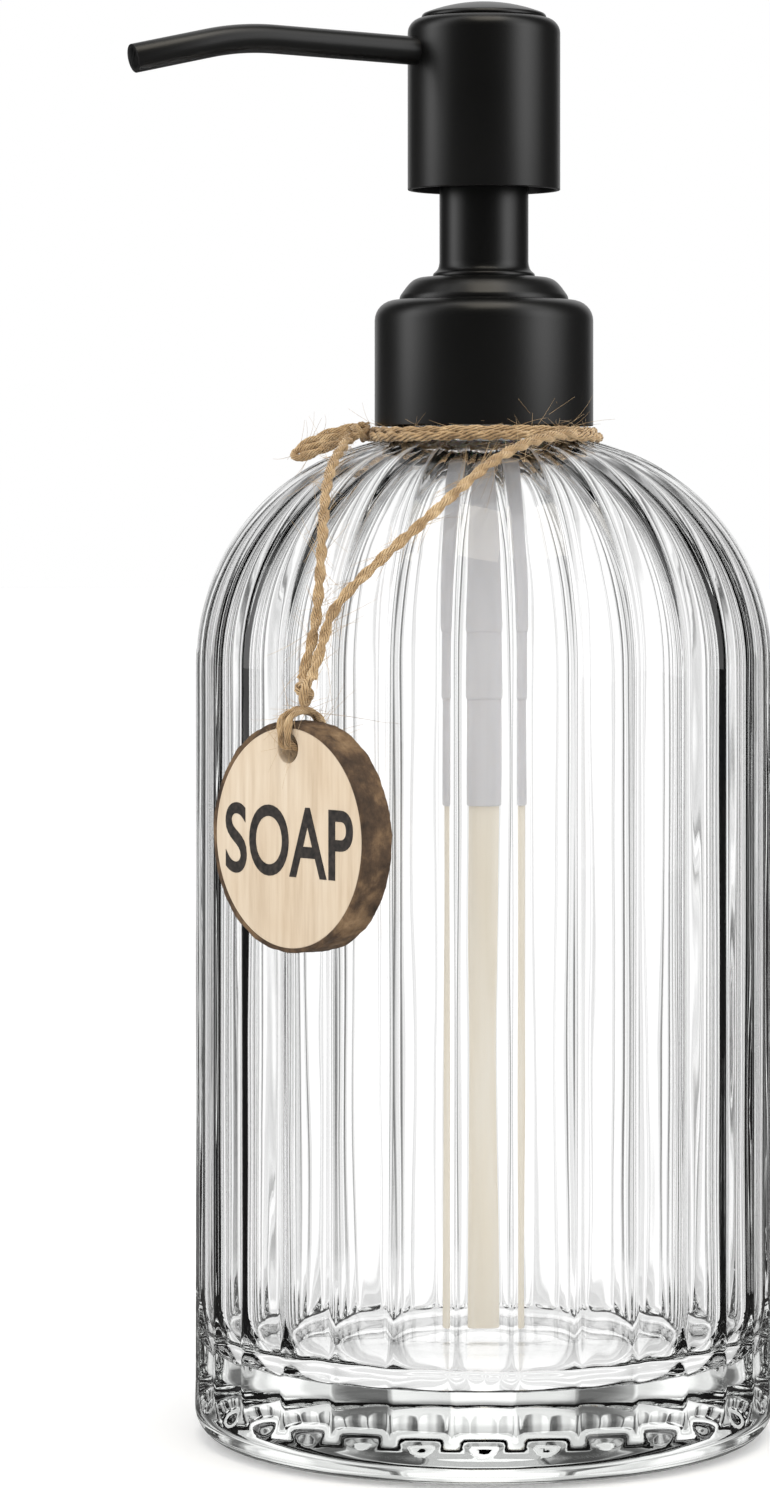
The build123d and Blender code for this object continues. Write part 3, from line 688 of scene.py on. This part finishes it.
outer_stop = math.degrees(math.acos((NECK_R - shoulder_centre) / SHOULDER_R))
inner_stop = math.degrees(math.acos((BORE_R - shoulder_centre) / (SHOULDER_R - WALL)))
outer_section = [(0.0, PUSH_UP), (12.0, PUSH_UP), (22.0, PUSH_UP - 0.2), (28.0, 1.7), (31.5, 0.5)]
outer_section += [(33.4, 0.05), (34.2, 0.0), (36.0, 0.0)]
outer_section += arc(bottle_r - HEEL_R, HEEL_R, HEEL_R, -84, 0, 10)
outer_section += rise(bottle_r, HEEL_R, 14.0, 22) + rise(bottle_r, 14.0, SHOULDER_Z, 8)
outer_section += arc(shoulder_centre, SHOULDER_Z, SHOULDER_R, 0, outer_stop, 28)
outer_section += rise(NECK_R, 139.6, finish_top, 30) + [(NECK_R - 0.2, finish_top)]
inner_wall_r = bottle_r - WALL
inner_section = [(BORE_R + 0.3, finish_top), (BORE_R, finish_top - 0.4), (BORE_R, 145.0)]
inner_section += arc(shoulder_centre, SHOULDER_Z, SHOULDER_R - WALL, inner_stop, 0, 20)
inner_section += rise(inner_wall_r, SHOULDER_Z, FLOOR_Z + FLOOR_CORNER_R, 44)
inner_section += arc(inner_wall_r - FLOOR_CORNER_R, FLOOR_Z + FLOOR_CORNER_R, FLOOR_CORNER_R, 0, -90, 12)
inner_section += [(24.0, FLOOR_Z + 0.3), (12.0, FLOOR_Z + 0.9), (0.0, FLOOR_Z + 1.1)]

# %% Flutes, thread and waves
FLUTES, STEPS_PER_FLUTE = 30, 16
FLUTE_DEPTH, INSIDE_DEPTH, FLUTE_PHASE = 0.6, 0.24, math.radians(4.0)
FLUTE_TOE_Z = 4.7
half_pitch = math.pi * bottle_r / FLUTES
FLUTE_TOP_R, FLUTE_FADE = 13.4, 3.0
SLOW_WAVE, QUICK_WAVE = 0.30, 0.09
THREAD_PITCH, THREAD_START, THREAD_TURNS, THREAD_HEIGHT = 4.233, 144.9, 1.4, 1.1
THREAD_HALF_WIDTH, THREAD_FLANK, THREAD_RUN_IN = 1.25, 0.75, 0.3


def flute_shape(radius, angle, height, scoop):
    """How deep a flute is at a place, from 0 on its ridges to 1 in its middle."""
    if radius < FLUTE_TOP_R or height < 1:
        return 0
    pitch = math.tau / FLUTES
    across = ((angle - FLUTE_PHASE) / pitch + 0.5) % 1 - 0.5
    toe_centre = FLUTE_TOE_Z + half_pitch
    below = max(0.0, toe_centre - height) / half_pitch
    off_centre = min(1.0, math.hypot(2 * across, below))
    fade = min(1.0, (radius - FLUTE_TOP_R) / FLUTE_FADE)
    return fade * (0.35 + 0.65 * radius / bottle_r) * scoop(off_centre)


def sharp_scoop(off_centre):
    """The round cut of a flute outside, which leaves a sharp ridge."""
    return 1 - off_centre**2


def soft_scoop(off_centre):
    """The same cut as it shows inside, where the glass has flowed smooth."""
    return math.cos(math.pi / 2 * off_centre) ** 2


def thread_height(angle, height):
    """How far the thread stands out of the neck at a place, in mm."""
    for lap in (0, 1):
        run = angle % math.tau + math.tau * lap
        if run > THREAD_TURNS * math.tau:
            continue
        off = abs(height - THREAD_START - THREAD_PITCH * run / math.tau)
        ends = min(1.0, run / THREAD_RUN_IN, (THREAD_TURNS * math.tau - run) / THREAD_RUN_IN)
        if off < THREAD_HALF_WIDTH:
            return THREAD_HEIGHT * ends * min(1.0, (THREAD_HALF_WIDTH - off) / THREAD_FLANK)
    return 0


def inner_wave(place):
    """Waves of the inner wall in mm: long and slow down the wall, shorter round it."""
    slow = noise.noise(Vector((place.x * 80, place.y * 80, place.z * 15)))
    quick = noise.noise(Vector((place.x * 260, place.y * 260, place.z * 36)) + Vector((7, 3, 1)))
    low_down = 1.3 - 0.6 * place.z / (SHOULDER_Z * MM)
    return low_down * (SLOW_WAVE * slow + QUICK_WAVE * quick)


bottle_bm = bmesh.new()
outer_layer = bottle_bm.verts.layers.int.new("outer")
section = [bottle_bm.verts.new((r * MM, 0, z * MM)) for r, z in outer_section + inner_section]
for lower, upper in zip(section, section[1:]):
    bottle_bm.edges.new((lower, upper))
for vertex in section[: len(outer_section)]:
    vertex[outer_layer] = 1
spin_round(bottle_bm, FLUTES * STEPS_PER_FLUTE)
bmesh.ops.rotate(bottle_bm, verts=bottle_bm.verts, matrix=Matrix.Rotation(FLUTE_PHASE, 3, "Z"))
for vertex in bottle_bm.verts:
    radius = math.hypot(vertex.co.x, vertex.co.y) / MM
    if radius < 1e-3:
        continue
    angle = math.atan2(vertex.co.y, vertex.co.x)
    height = vertex.co.z / MM
    outward = Vector((vertex.co.x, vertex.co.y, 0)).normalized()
    if vertex[outer_layer] and height > SHOULDER_Z and radius < FLUTE_TOP_R:
        vertex.co += outward * thread_height(angle, height) * MM
    elif vertex[outer_layer]:
        slope = Vector((radius - shoulder_centre, max(0.0, height - SHOULDER_Z))).normalized()
        depth = FLUTE_DEPTH * flute_shape(radius, angle, height, sharp_scoop)
        vertex.co -= (outward * slope.x + up * slope.y) * depth * MM
    elif radius > BORE_R + 2 and height > FLOOR_Z + 1:
        follows = INSIDE_DEPTH * flute_shape(radius + WALL, angle, height, soft_scoop)
        vertex.co += outward * (inner_wave(vertex.co) - follows) * MM
glass_mesh = mesh_from("fluted_glass", bottle_bm, 180)

# %% Clear glass
glass, glass_shader = new_material(
    "clear_glass", Base_Color=(1, 1, 1, 1), Roughness=0.0, IOR=1.5, Transmission_Weight=1.0
)
tint = add_node(glass, "ShaderNodeVolumeAbsorption", Color=(0.80, 0.86, 0.80, 1), Density=3.5)
glass_out = glass.node_tree.nodes["Material Output"]
link(glass, tint.outputs["Volume"], glass_out.inputs["Volume"])
seed_marks = object_noise(glass, stretch=(1, 1, 0.3), Scale=160.0, Detail=2.0)
roughen(glass, glass_shader, seed_marks, 0.05, 0.35)
mesh_piece("fluted_glass", glass_mesh, glass, "bottle", "clear_glass", "glass_bottle")

# %% [markdown]
# ## Black metal
#
# The collar, its dome, the guide sleeve, the head and the spout are steel with a satin black coat. A
# satin coat is never one even value: it has a fine grain, and its gloss drifts a little over a hand's
# width. The tone barely changes, so most of the look comes from roughness and the smallest of bumps.

# %% Satin black coat
coat, coat_shader = new_material("satin_black_coat", Metallic=0.0, IOR=1.5)
coat_drift = object_noise(coat, Scale=45.0, Detail=3.0)
coat_grain = object_noise(coat, Scale=5200.0, Detail=2.0)
colour(coat, coat_shader, coat_drift, (0.3, (0.0024, 0.0024, 0.0023)), (0.7, (0.0036, 0.0035, 0.0033)))
link(coat, spread(coat, coat_drift, 0.29, 0.37), coat_shader.inputs["Roughness"])
roughen(coat, coat_shader, coat_grain, 0.012, 0.35)

# %% Collar, dome and sleeve
collar_r, collar_low, collar_high = reach("collar_shell")
sleeve_foot_r, sleeve_low, sleeve_high = reach("guide_sleeve")
_, dome_low, dome_high = reach("collar_dome")
SKIN, DOME_R, SLEEVE_R, SLEEVE_BORE_R = 0.35, 11.9, 6.27, 5.6
collar_hole = DOME_R + 0.4
collar_bm = turned([
    (collar_r, collar_low, 0.12), (collar_r, collar_high, 2.9), (collar_hole, collar_high, 0.12),
    (collar_hole, collar_high - SKIN, 0.08), (collar_r - SKIN, collar_high - SKIN, 2.5),
    (collar_r - SKIN, collar_low, 0.08),
], rounding_segments=8)
bmesh_piece("collar", collar_bm, coat, "closure", "black_metal", "collar_shell")
DOME_STEP_Z, DOME_BAND_Z, DOME_EASE_R, DOME_EASE_Z, DOME_TOP_R = 157.6, 159.5, 10.75, 161.1, 9.6
dome_bm = turned([
    (SLEEVE_R + 0.05, dome_low, 0), (collar_r - 2.9, dome_low, 0.1), (collar_r - 2.9, DOME_STEP_Z, 0.1),
    (DOME_R, DOME_STEP_Z, 0), (DOME_R, DOME_BAND_Z, 0.35), (DOME_EASE_R, DOME_EASE_Z, 0.5),
    (DOME_TOP_R, dome_high, 0.9), (SLEEVE_R + 0.05, dome_high + 0.02, 0),
])
bmesh_piece("dome", dome_bm, coat, "closure", "black_metal", "collar_dome")
sleeve_bm = turned([
    (SLEEVE_BORE_R, sleeve_low, 0.05), (SLEEVE_R, sleeve_low, 0.05), (SLEEVE_R, dome_high + 0.05, 0),
    (sleeve_foot_r, dome_high + 0.05, 0.15), (sleeve_foot_r, dome_high + 0.5, 0.22),
    (SLEEVE_R + 0.35, dome_high + 0.95, 0.3), (SLEEVE_R, dome_high + 1.7, 0.6),
    (SLEEVE_R, sleeve_high, 0.25), (SLEEVE_BORE_R, sleeve_high, 0.2),
])
bmesh_piece("sleeve", sleeve_bm, coat, "closure", "black_metal", "guide_sleeve")

# %% Head and crown
head_r, head_low, head_high = reach("head_shell")
crown_r, crown_low, crown_high = reach("head_crown")
HEAD_WALL, CROWN_HOLE_R = 0.6, 7.6
head_bm = turned([
    (head_r, head_low, 0.14), (head_r, head_high, 2.1), (CROWN_HOLE_R, head_high, 0.1),
    (CROWN_HOLE_R, head_high - HEAD_WALL, 0), (head_r - HEAD_WALL, head_high - HEAD_WALL, 1.6),
    (head_r - HEAD_WALL, head_low, 0.1),
], rounding_segments=8)
bmesh_piece("head", head_bm, coat, "actuator", "black_metal", "head_shell")

CROWN_EDGE = 0.55
crown_arc_rise = crown_high - head_high - CROWN_EDGE
crown_arc_r = (crown_r**2 + crown_arc_rise**2) / (2 * crown_arc_rise)
CROWN_STEPS, SPIGOT_R = 10, 7.5
crown_top = []
for i in range(CROWN_STEPS + 1):
    out = crown_r * (1 - i / CROWN_STEPS)
    crown_top.append((out, crown_high - crown_arc_r + math.sqrt(crown_arc_r**2 - out**2), 0 if i else 0.4))
crown_bm = turned([
    (0, crown_low, 0), (SPIGOT_R, crown_low, 0.1), (SPIGOT_R, head_high + 0.05, 0),
    (crown_r, head_high + 0.05, 0.1), *crown_top,
])
bmesh_piece("crown", crown_bm, coat, "actuator", "black_metal", "head_crown")

# %% [markdown]
# ## Spout
#
# The spout is a length of tube, bent once and cut square. A ring of vertices is pushed along the first
# straight, spun about the centre of the bend, and pushed along the second. It is done once for the
# outside and once for the bore, and the two are bridged at both ends.

# %% Spout
SPOUT_ROOT, SPOUT_KNEE = Vector((-6.0, 0, 193.55)), Vector((-37.1, 0, 194.57))
SPOUT_TIP = Vector((-53.0, 0, 190.9))
SPOUT_R, SPOUT_BORE_R, SPOUT_BEND_R = 2.0, 1.6, 38.0
first_way = (SPOUT_KNEE - SPOUT_ROOT).normalized()
last_way = (SPOUT_TIP - SPOUT_KNEE).normalized()
spout_turn = first_way.angle(last_way)
bend_reach = SPOUT_BEND_R * math.tan(spout_turn / 2)
first_length = (SPOUT_KNEE - SPOUT_ROOT).length - bend_reach
last_length = (SPOUT_TIP - SPOUT_KNEE).length - bend_reach
bend_axis = first_way.cross(last_way).normalized()
bend_centre = SPOUT_ROOT + first_way * first_length + bend_axis.cross(first_way) * SPOUT_BEND_R


def push(bm, ring, way):
    """Extrudes a ring of edges along a vector and returns the new ring."""
    grown = bmesh.ops.extrude_edge_only(bm, edges=ring)["geom"]
    bmesh.ops.translate(bm, verts=[g for g in grown if isinstance(g, bmesh.types.BMVert)], vec=way)
    return [g for g in grown if isinstance(g, bmesh.types.BMEdge)]


def bent_tube(bm, radius):
    """The skin of the spout at one radius. Returns its two end rings."""
    stand = first_way.to_track_quat("Z", "Y").to_matrix().to_4x4()
    place = Matrix.Translation(SPOUT_ROOT * MM) @ stand
    made = bmesh.ops.create_circle(bm, cap_ends=False, segments=48, radius=radius * MM, matrix=place)["verts"]
    root_ring = list({e for v in made for e in v.link_edges})
    ring = push(bm, root_ring, first_way * first_length * MM)
    swept = bmesh.ops.spin(
        bm, geom=ring, cent=bend_centre * MM, axis=bend_axis, dvec=(0, 0, 0), angle=spout_turn, steps=12,
        use_merge=False,
    )["geom_last"]
    ring = [g for g in swept if isinstance(g, bmesh.types.BMEdge)]
    return root_ring, push(bm, ring, last_way * last_length * MM)


spout_bm = bmesh.new()
outer_root, outer_tip = bent_tube(spout_bm, SPOUT_R)
bore_root, bore_tip = bent_tube(spout_bm, SPOUT_BORE_R)
bmesh.ops.bridge_loops(spout_bm, edges=outer_root + bore_root)
bmesh.ops.bridge_loops(spout_bm, edges=outer_tip + bore_tip)
bmesh.ops.recalc_face_normals(spout_bm, faces=spout_bm.faces)
ease(spout_bm, [e for e in outer_tip + bore_tip if e.is_valid], 0.08 * MM, 2)
bmesh_piece("spout", spout_bm, coat, "actuator", "black_metal", "spout_tube")

# %% [markdown]
# ## Pump in the bottle
#
# Behind the glass hang the pump's housing, in translucent plastic the colour of skimmed milk, and an
# ivory tube down to the floor. Their steps are what shows through the flutes.

# %% Plastics of the pump
milk, milk_shader = new_material(
    "milky_plastic", Roughness=0.33, IOR=1.49, Subsurface_Weight=0.25, Subsurface_Scale=0.002
)
milk_shader.inputs["Subsurface Radius"].default_value = (1.0, 0.9, 0.8)
milk_flow = object_noise(milk, stretch=(1, 1, 0.25), Scale=240.0, Detail=2.0)
colour(milk, milk_shader, milk_flow, (0.3, (0.74, 0.725, 0.735)), (0.7, (0.80, 0.785, 0.795)))

ivory, ivory_shader = new_material("ivory_plastic", Roughness=0.4, IOR=1.49)
ivory_flow = object_noise(ivory, stretch=(1, 1, 0.08), Scale=500.0, Detail=2.0)
colour(ivory, ivory_shader, ivory_flow, (0.3, (0.95, 0.86, 0.70)), (0.7, (0.99, 0.92, 0.79)))

# %% Housing and dip tube
flange_r, socket_low, flange_high = reach("pump_housing")
tube_r, tube_low, tube_high = reach("dip_tube")
FLANGE_THICKNESS, CHAMBER_TOP_R, CHAMBER_R, CHAMBER_BORE_R, CHAMBER_FLOOR_Z = 1.2, 4.5, 4.25, 3.6, 114.0
VALVE_R, VALVE_BORE_R, VALVE_TOP_Z, VALVE_END_Z = 3.8, 3.0, 112.4, 102.7
SOCKET_R, SOCKET_BORE_R, SOCKET_END_Z, INLET_R, TUBE_BORE_R = 3.3, 2.55, 100.4, 0.9, 1.8
flange_under = flange_high - FLANGE_THICKNESS
housing_bm = turned([
    (CHAMBER_BORE_R, flange_high, 0.1), (flange_r, flange_high, 0.15), (flange_r, flange_under, 0.15),
    (CHAMBER_TOP_R, flange_under, 0), (CHAMBER_TOP_R, 140.0, 1.0), (CHAMBER_R, 137.0, 1.0),
    (CHAMBER_R, 113.0, 0.4), (4.0, VALVE_TOP_Z, 0.08), (VALVE_R, VALVE_TOP_Z, 0.08),
    (VALVE_R, VALVE_END_Z + 0.2, 0.3), (3.45, VALVE_END_Z, 0.08), (SOCKET_R, VALVE_END_Z, 0.05),
    (SOCKET_R, socket_low, 0.2), (SOCKET_BORE_R, socket_low, 0.1), (SOCKET_BORE_R, SOCKET_END_Z, 0),
    (INLET_R, SOCKET_END_Z, 0), (INLET_R, 101.6, 0), (VALVE_BORE_R, 103.7, 0),
    (VALVE_BORE_R, CHAMBER_FLOOR_Z, 0), (CHAMBER_BORE_R, CHAMBER_FLOOR_Z, 0),
])
bmesh_piece("housing", housing_bm, milk, "pump_body", "white_plastic", "pump_housing")
tube_bm = turned([
    (TUBE_BORE_R, tube_low, 0.1), (tube_r, tube_low, 0.1), (tube_r, tube_high, 0.1),
    (TUBE_BORE_R, tube_high, 0.1),
])
bmesh_piece("ivory_tube", tube_bm, ivory, "pump_body", "ivory_plastic", "dip_tube")

# %% [markdown]
# ## Parts that keep their engineering shape
#
# The screw cap, the core of the head, the stem and everything inside the housing already have their
# right shape. They only take a finish.

# %% Finishes for the inner parts
moulded, moulded_shader = new_material("black_moulding", Roughness=0.5)
moulded_grain = object_noise(moulded, Scale=2600.0, Detail=3.0)
colour(moulded, moulded_shader, moulded_grain, (0.3, (0.012, 0.012, 0.012)), (0.7, (0.022, 0.022, 0.022)))
roughen(moulded, moulded_shader, moulded_grain, 0.01, 0.5)

soft_seal, seal_shader = new_material(
    "soft_seal", Roughness=0.55, Subsurface_Weight=0.2, Subsurface_Scale=0.001
)
seal_tone = object_noise(soft_seal, Scale=900.0)
colour(soft_seal, seal_shader, seal_tone, (0.3, (0.74, 0.74, 0.72)), (0.7, (0.82, 0.82, 0.80)))

wire, wire_shader = new_material("spring_wire", Metallic=1.0)
wire_drawn = object_noise(wire, Scale=2400.0, Detail=3.0)
colour(wire, wire_shader, wire_drawn, (0.3, (0.46, 0.46, 0.47)), (0.7, (0.6, 0.6, 0.6)))
link(wire, spread(wire, wire_drawn, 0.22, 0.38), wire_shader.inputs["Roughness"])

ball_glass, ball_shader = new_material("ball_glass", Roughness=0.08, Transmission_Weight=0.7, IOR=1.5)
ball_tone = object_noise(ball_glass, Scale=700.0)
colour(ball_glass, ball_shader, ball_tone, (0.3, (0.78, 0.84, 0.84)), (0.7, (0.88, 0.92, 0.92)))

INNER_FINISHES = {
    "screw_cap": moulded, "head_core": moulded, "stem_guide": moulded, "neck_gasket": soft_seal,
    "piston_seal": soft_seal, "outlet_ball_stop": soft_seal, "ball_cage": milk, "piston_stem": milk,
    "inlet_ball": ball_glass, "outlet_ball": ball_glass,
}
for node_name, finish in INNER_FINISHES.items():
    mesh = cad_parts[node_name].data
    mesh.materials.clear()
    mesh.materials.append(finish)
print("inner parts with a finish:", len(INNER_FINISHES))

# %% [markdown]
# ## Return spring
#
# A ring of wire is spun upwards seven times into a coil.

# %% Return spring
SPRING_TURNS, STEPS_PER_TURN = 7, 40
WIRE_RADIUS, STROKE = 0.32 * MM, 11 * MM
spring_low, spring_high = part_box("return_spring")
spring_length = spring_high.z - spring_low.z
coil_foot = Matrix.Translation((spring_high.x - WIRE_RADIUS, 0, spring_low.z + WIRE_RADIUS))
coil_rise = spring_length - 2 * WIRE_RADIUS
spring_bm = bmesh.new()
bmesh.ops.create_circle(
    spring_bm, segments=12, radius=WIRE_RADIUS, matrix=coil_foot @ Matrix.Rotation(math.pi / 2, 4, "X")
)
spring_steps = SPRING_TURNS * STEPS_PER_TURN
bmesh.ops.spin(
    spring_bm, geom=spring_bm.verts[:] + spring_bm.edges[:], cent=(0, 0, 0), axis=(0, 0, 1),
    dvec=(0, 0, coil_rise / spring_steps), angle=math.tau * SPRING_TURNS, steps=spring_steps,
)
bmesh.ops.holes_fill(spring_bm, edges=spring_bm.edges, sides=0)
bmesh.ops.recalc_face_normals(spring_bm, faces=spring_bm.faces)
spring = bmesh_piece("return_spring_coil", spring_bm, wire, "pump_body", "spring_steel", "return_spring")
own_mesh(spring)
print(f"spring: {spring_length / MM:.1f} mm long, pressed to {(spring_length - STROKE) / MM:.1f} mm")

# %% [markdown]
# ## Floor, light and surroundings
#
# Clear glass shows only what it bends and mirrors, so it is lit by its surroundings. A white room
# would erase it. A studio puts dark strips beside a white backdrop, and these draw the dark lines
# along each flute. The world does this here: it is plain white to the camera, white with upright grey
# bands to light that has passed through the glass, and dark in front, with two tall soft boxes, to
# what is mirrored in the black coat. A mirrored ray is glossy and isn't transmitted, because Blender
# calls a ray that is bent by glass glossy too.

# %% Floor
floor_material, floor_shader = new_material("pale_floor", Roughness=0.9, IOR=1.3)
floor_tone = object_noise(floor_material, Scale=3.0)
floor_colour = ramp(
    floor_material, floor_tone, (0.3, (0.93, 0.93, 0.93)), (0.7, (0.94, 0.94, 0.94))
)
# Painted shade: in mirrored rays that are not transmitted, the floor's colour is a dark grey of 0.12 instead
# of its pale tone, so the black coat and the glass mirror a dark floor.
in_mirror = add_node(floor_material, "ShaderNodeLightPath")
floor_painted_mirror_shade = add_node(floor_material, "ShaderNodeMix", data_type="RGBA")
floor_painted_mirror_shade.inputs[7].default_value = (0.12, 0.12, 0.12, 1)
only_mirrored = add_node(floor_material, "ShaderNodeMath", operation="GREATER_THAN")
link(floor_material, in_mirror.outputs["Is Glossy Ray"], only_mirrored.inputs[0])
link(floor_material, in_mirror.outputs["Is Transmission Ray"], only_mirrored.inputs[1])
link(floor_material, only_mirrored.outputs[0], floor_painted_mirror_shade.inputs["Factor"])
link(floor_material, floor_colour, floor_painted_mirror_shade.inputs[6])
link(floor_material, floor_painted_mirror_shade.outputs[2], floor_shader.inputs["Base Color"])
floor_bm = bmesh.new()
bmesh.ops.create_circle(floor_bm, cap_ends=True, segments=96, radius=6.0)
floor = bpy.data.objects.new("floor", mesh_from("floor", floor_bm))
floor.location.z = cad_box[0].z - 0.0002
floor.data.materials.append(floor_material)
show(floor)
floor.visible_transmission = False

# %% Lights
def soft_box(name, azimuth, distance, height, width, tall, power, colour, aim=0.11):
    """An upright rectangular light that faces the bottle, by its azimuth from the camera in degrees."""
    light = bpy.data.lights.new(name, "AREA")
    light.shape = "RECTANGLE"
    light.size, light.size_y = width, tall
    light.energy = power
    light.color = colour
    holder = bpy.data.objects.new(name, light)
    turn = VIEW_AZIMUTH + math.radians(azimuth)
    holder.location = (math.sin(turn) * distance, -math.cos(turn) * distance, height)
    holder.rotation_euler = (Vector((0, 0, aim)) - holder.location).to_track_quat("-Z", "Y").to_euler()
    holder.visible_transmission = False
    show(holder)


soft_box("left_box", -86, 1.0, 0.30, 0.30, 0.9, 0.9, (1.0, 1.0, 1.0))
soft_box("right_box", 64, 1.0, 0.30, 0.36, 0.9, 1.1, (1.0, 1.0, 1.0))
soft_box("top_box", 10, 0.30, 0.95, 0.5, 0.5, 2.2, (1.0, 0.93, 0.80))

# %% World
world = bpy.data.worlds.new("studio")
bpy.context.scene.world = world
world.use_nodes = True
tree = world.node_tree


def world_math(operation, *values, kind="ShaderNodeMath"):
    """A sum on sockets and numbers, as a node of the world's tree. Returns what comes out."""
    made = tree.nodes.new(kind)
    made.operation = operation
    for socket, value in zip(made.inputs, values):
        if isinstance(value, bpy.types.NodeSocket):
            tree.links.new(value, socket)
        else:
            socket.default_value = value
    return made.outputs[0]


def world_ramp(source, *stops):
    """Greys over a value, with stops of (position, grey)."""
    made = tree.nodes.new("ShaderNodeValToRGB")
    made.color_ramp.interpolation = "EASE"
    while len(made.color_ramp.elements) < len(stops):
        made.color_ramp.elements.new(0.5)
    for element, (position, value) in zip(made.color_ramp.elements, stops):
        element.position = position
        element.color = (value, value, value, 1)
    tree.links.new(source, made.inputs["Fac"])
    return made.outputs["Color"]


def turn_share(period):
    """How far round the object a direction lies from the backdrop, as a share of a period that repeats."""
    return world_math("DIVIDE", world_math("WRAP", from_backdrop, period, 0.0), period)


parts = tree.nodes.new("ShaderNodeSeparateXYZ")
tree.links.new(tree.nodes.new("ShaderNodeTexCoord").outputs["Generated"], parts.inputs[0])
camera_bearing = math.atan2(towards_camera.y, towards_camera.x)
bearing = world_math("ARCTAN2", parts.outputs["Y"], parts.outputs["X"])
from_backdrop = world_math("SUBTRACT", bearing, camera_bearing - math.pi)
mirrored = world_ramp(
    turn_share(math.tau), (0.0, 0.95), (0.05, 0.80), (0.11, 0.06), (0.20, 0.05), (0.25, 1.6),
    (0.29, 1.6), (0.36, 0.06), (0.50, 0.01), (0.59, 0.06), (0.66, 1.7), (0.72, 1.7), (0.78, 0.06),
    (0.89, 0.06), (0.95, 0.80), (1.0, 0.95),
)
BAND_PERIOD = math.radians(30)
bands = world_ramp(
    turn_share(BAND_PERIOD), (0.0, 1.18), (0.10, 1.18), (0.17, 0.84), (0.27, 0.90), (0.36, 0.36),
    (0.44, 0.15), (0.52, 0.15), (0.61, 0.42), (0.70, 1.0), (0.80, 0.84), (0.88, 1.18), (1.0, 1.18),
)
dark_above = world_ramp(parts.outputs["Z"], (0.0, 1.0), (0.14, 1.0), (0.34, 0.50), (1.0, 0.46))
downwards = world_math("MULTIPLY", parts.outputs["Z"], -1.0)
pale_below = world_ramp(downwards, (0.0, 0.0), (0.10, 0.0), (0.20, 0.70), (1.0, 0.88))
dimmed_bands = world_math("MULTIPLY", bands, dark_above, kind="ShaderNodeVectorMath")
seen_through = world_math("MAXIMUM", dimmed_bands, pale_below, kind="ShaderNodeVectorMath")
rays = tree.nodes.new("ShaderNodeLightPath").outputs


def choose(switch, when_on, otherwise):
    """One of two colours, by a ray's kind."""
    made = tree.nodes.new("ShaderNodeMix")
    made.data_type = "RGBA"
    tree.links.new(switch, made.inputs["Factor"])
    for socket, value in ((made.inputs[7], when_on), (made.inputs[6], otherwise)):
        if isinstance(value, bpy.types.NodeSocket):
            tree.links.new(value, socket)
        else:
            socket.default_value = (value, value, value, 1)
    return made.outputs[2]


lights_matt = world_math("GREATER_THAN", rays["Diffuse Depth"], 0.5)
light_seen = choose(rays["Is Transmission Ray"], seen_through, mirrored)
light_seen = choose(lights_matt, 1.22, light_seen)
light_seen = choose(rays["Is Camera Ray"], 1.0, light_seen)
tree.links.new(light_seen, tree.nodes["Background"].inputs["Color"])
bpy.context.scene.view_settings.view_transform = "Standard"
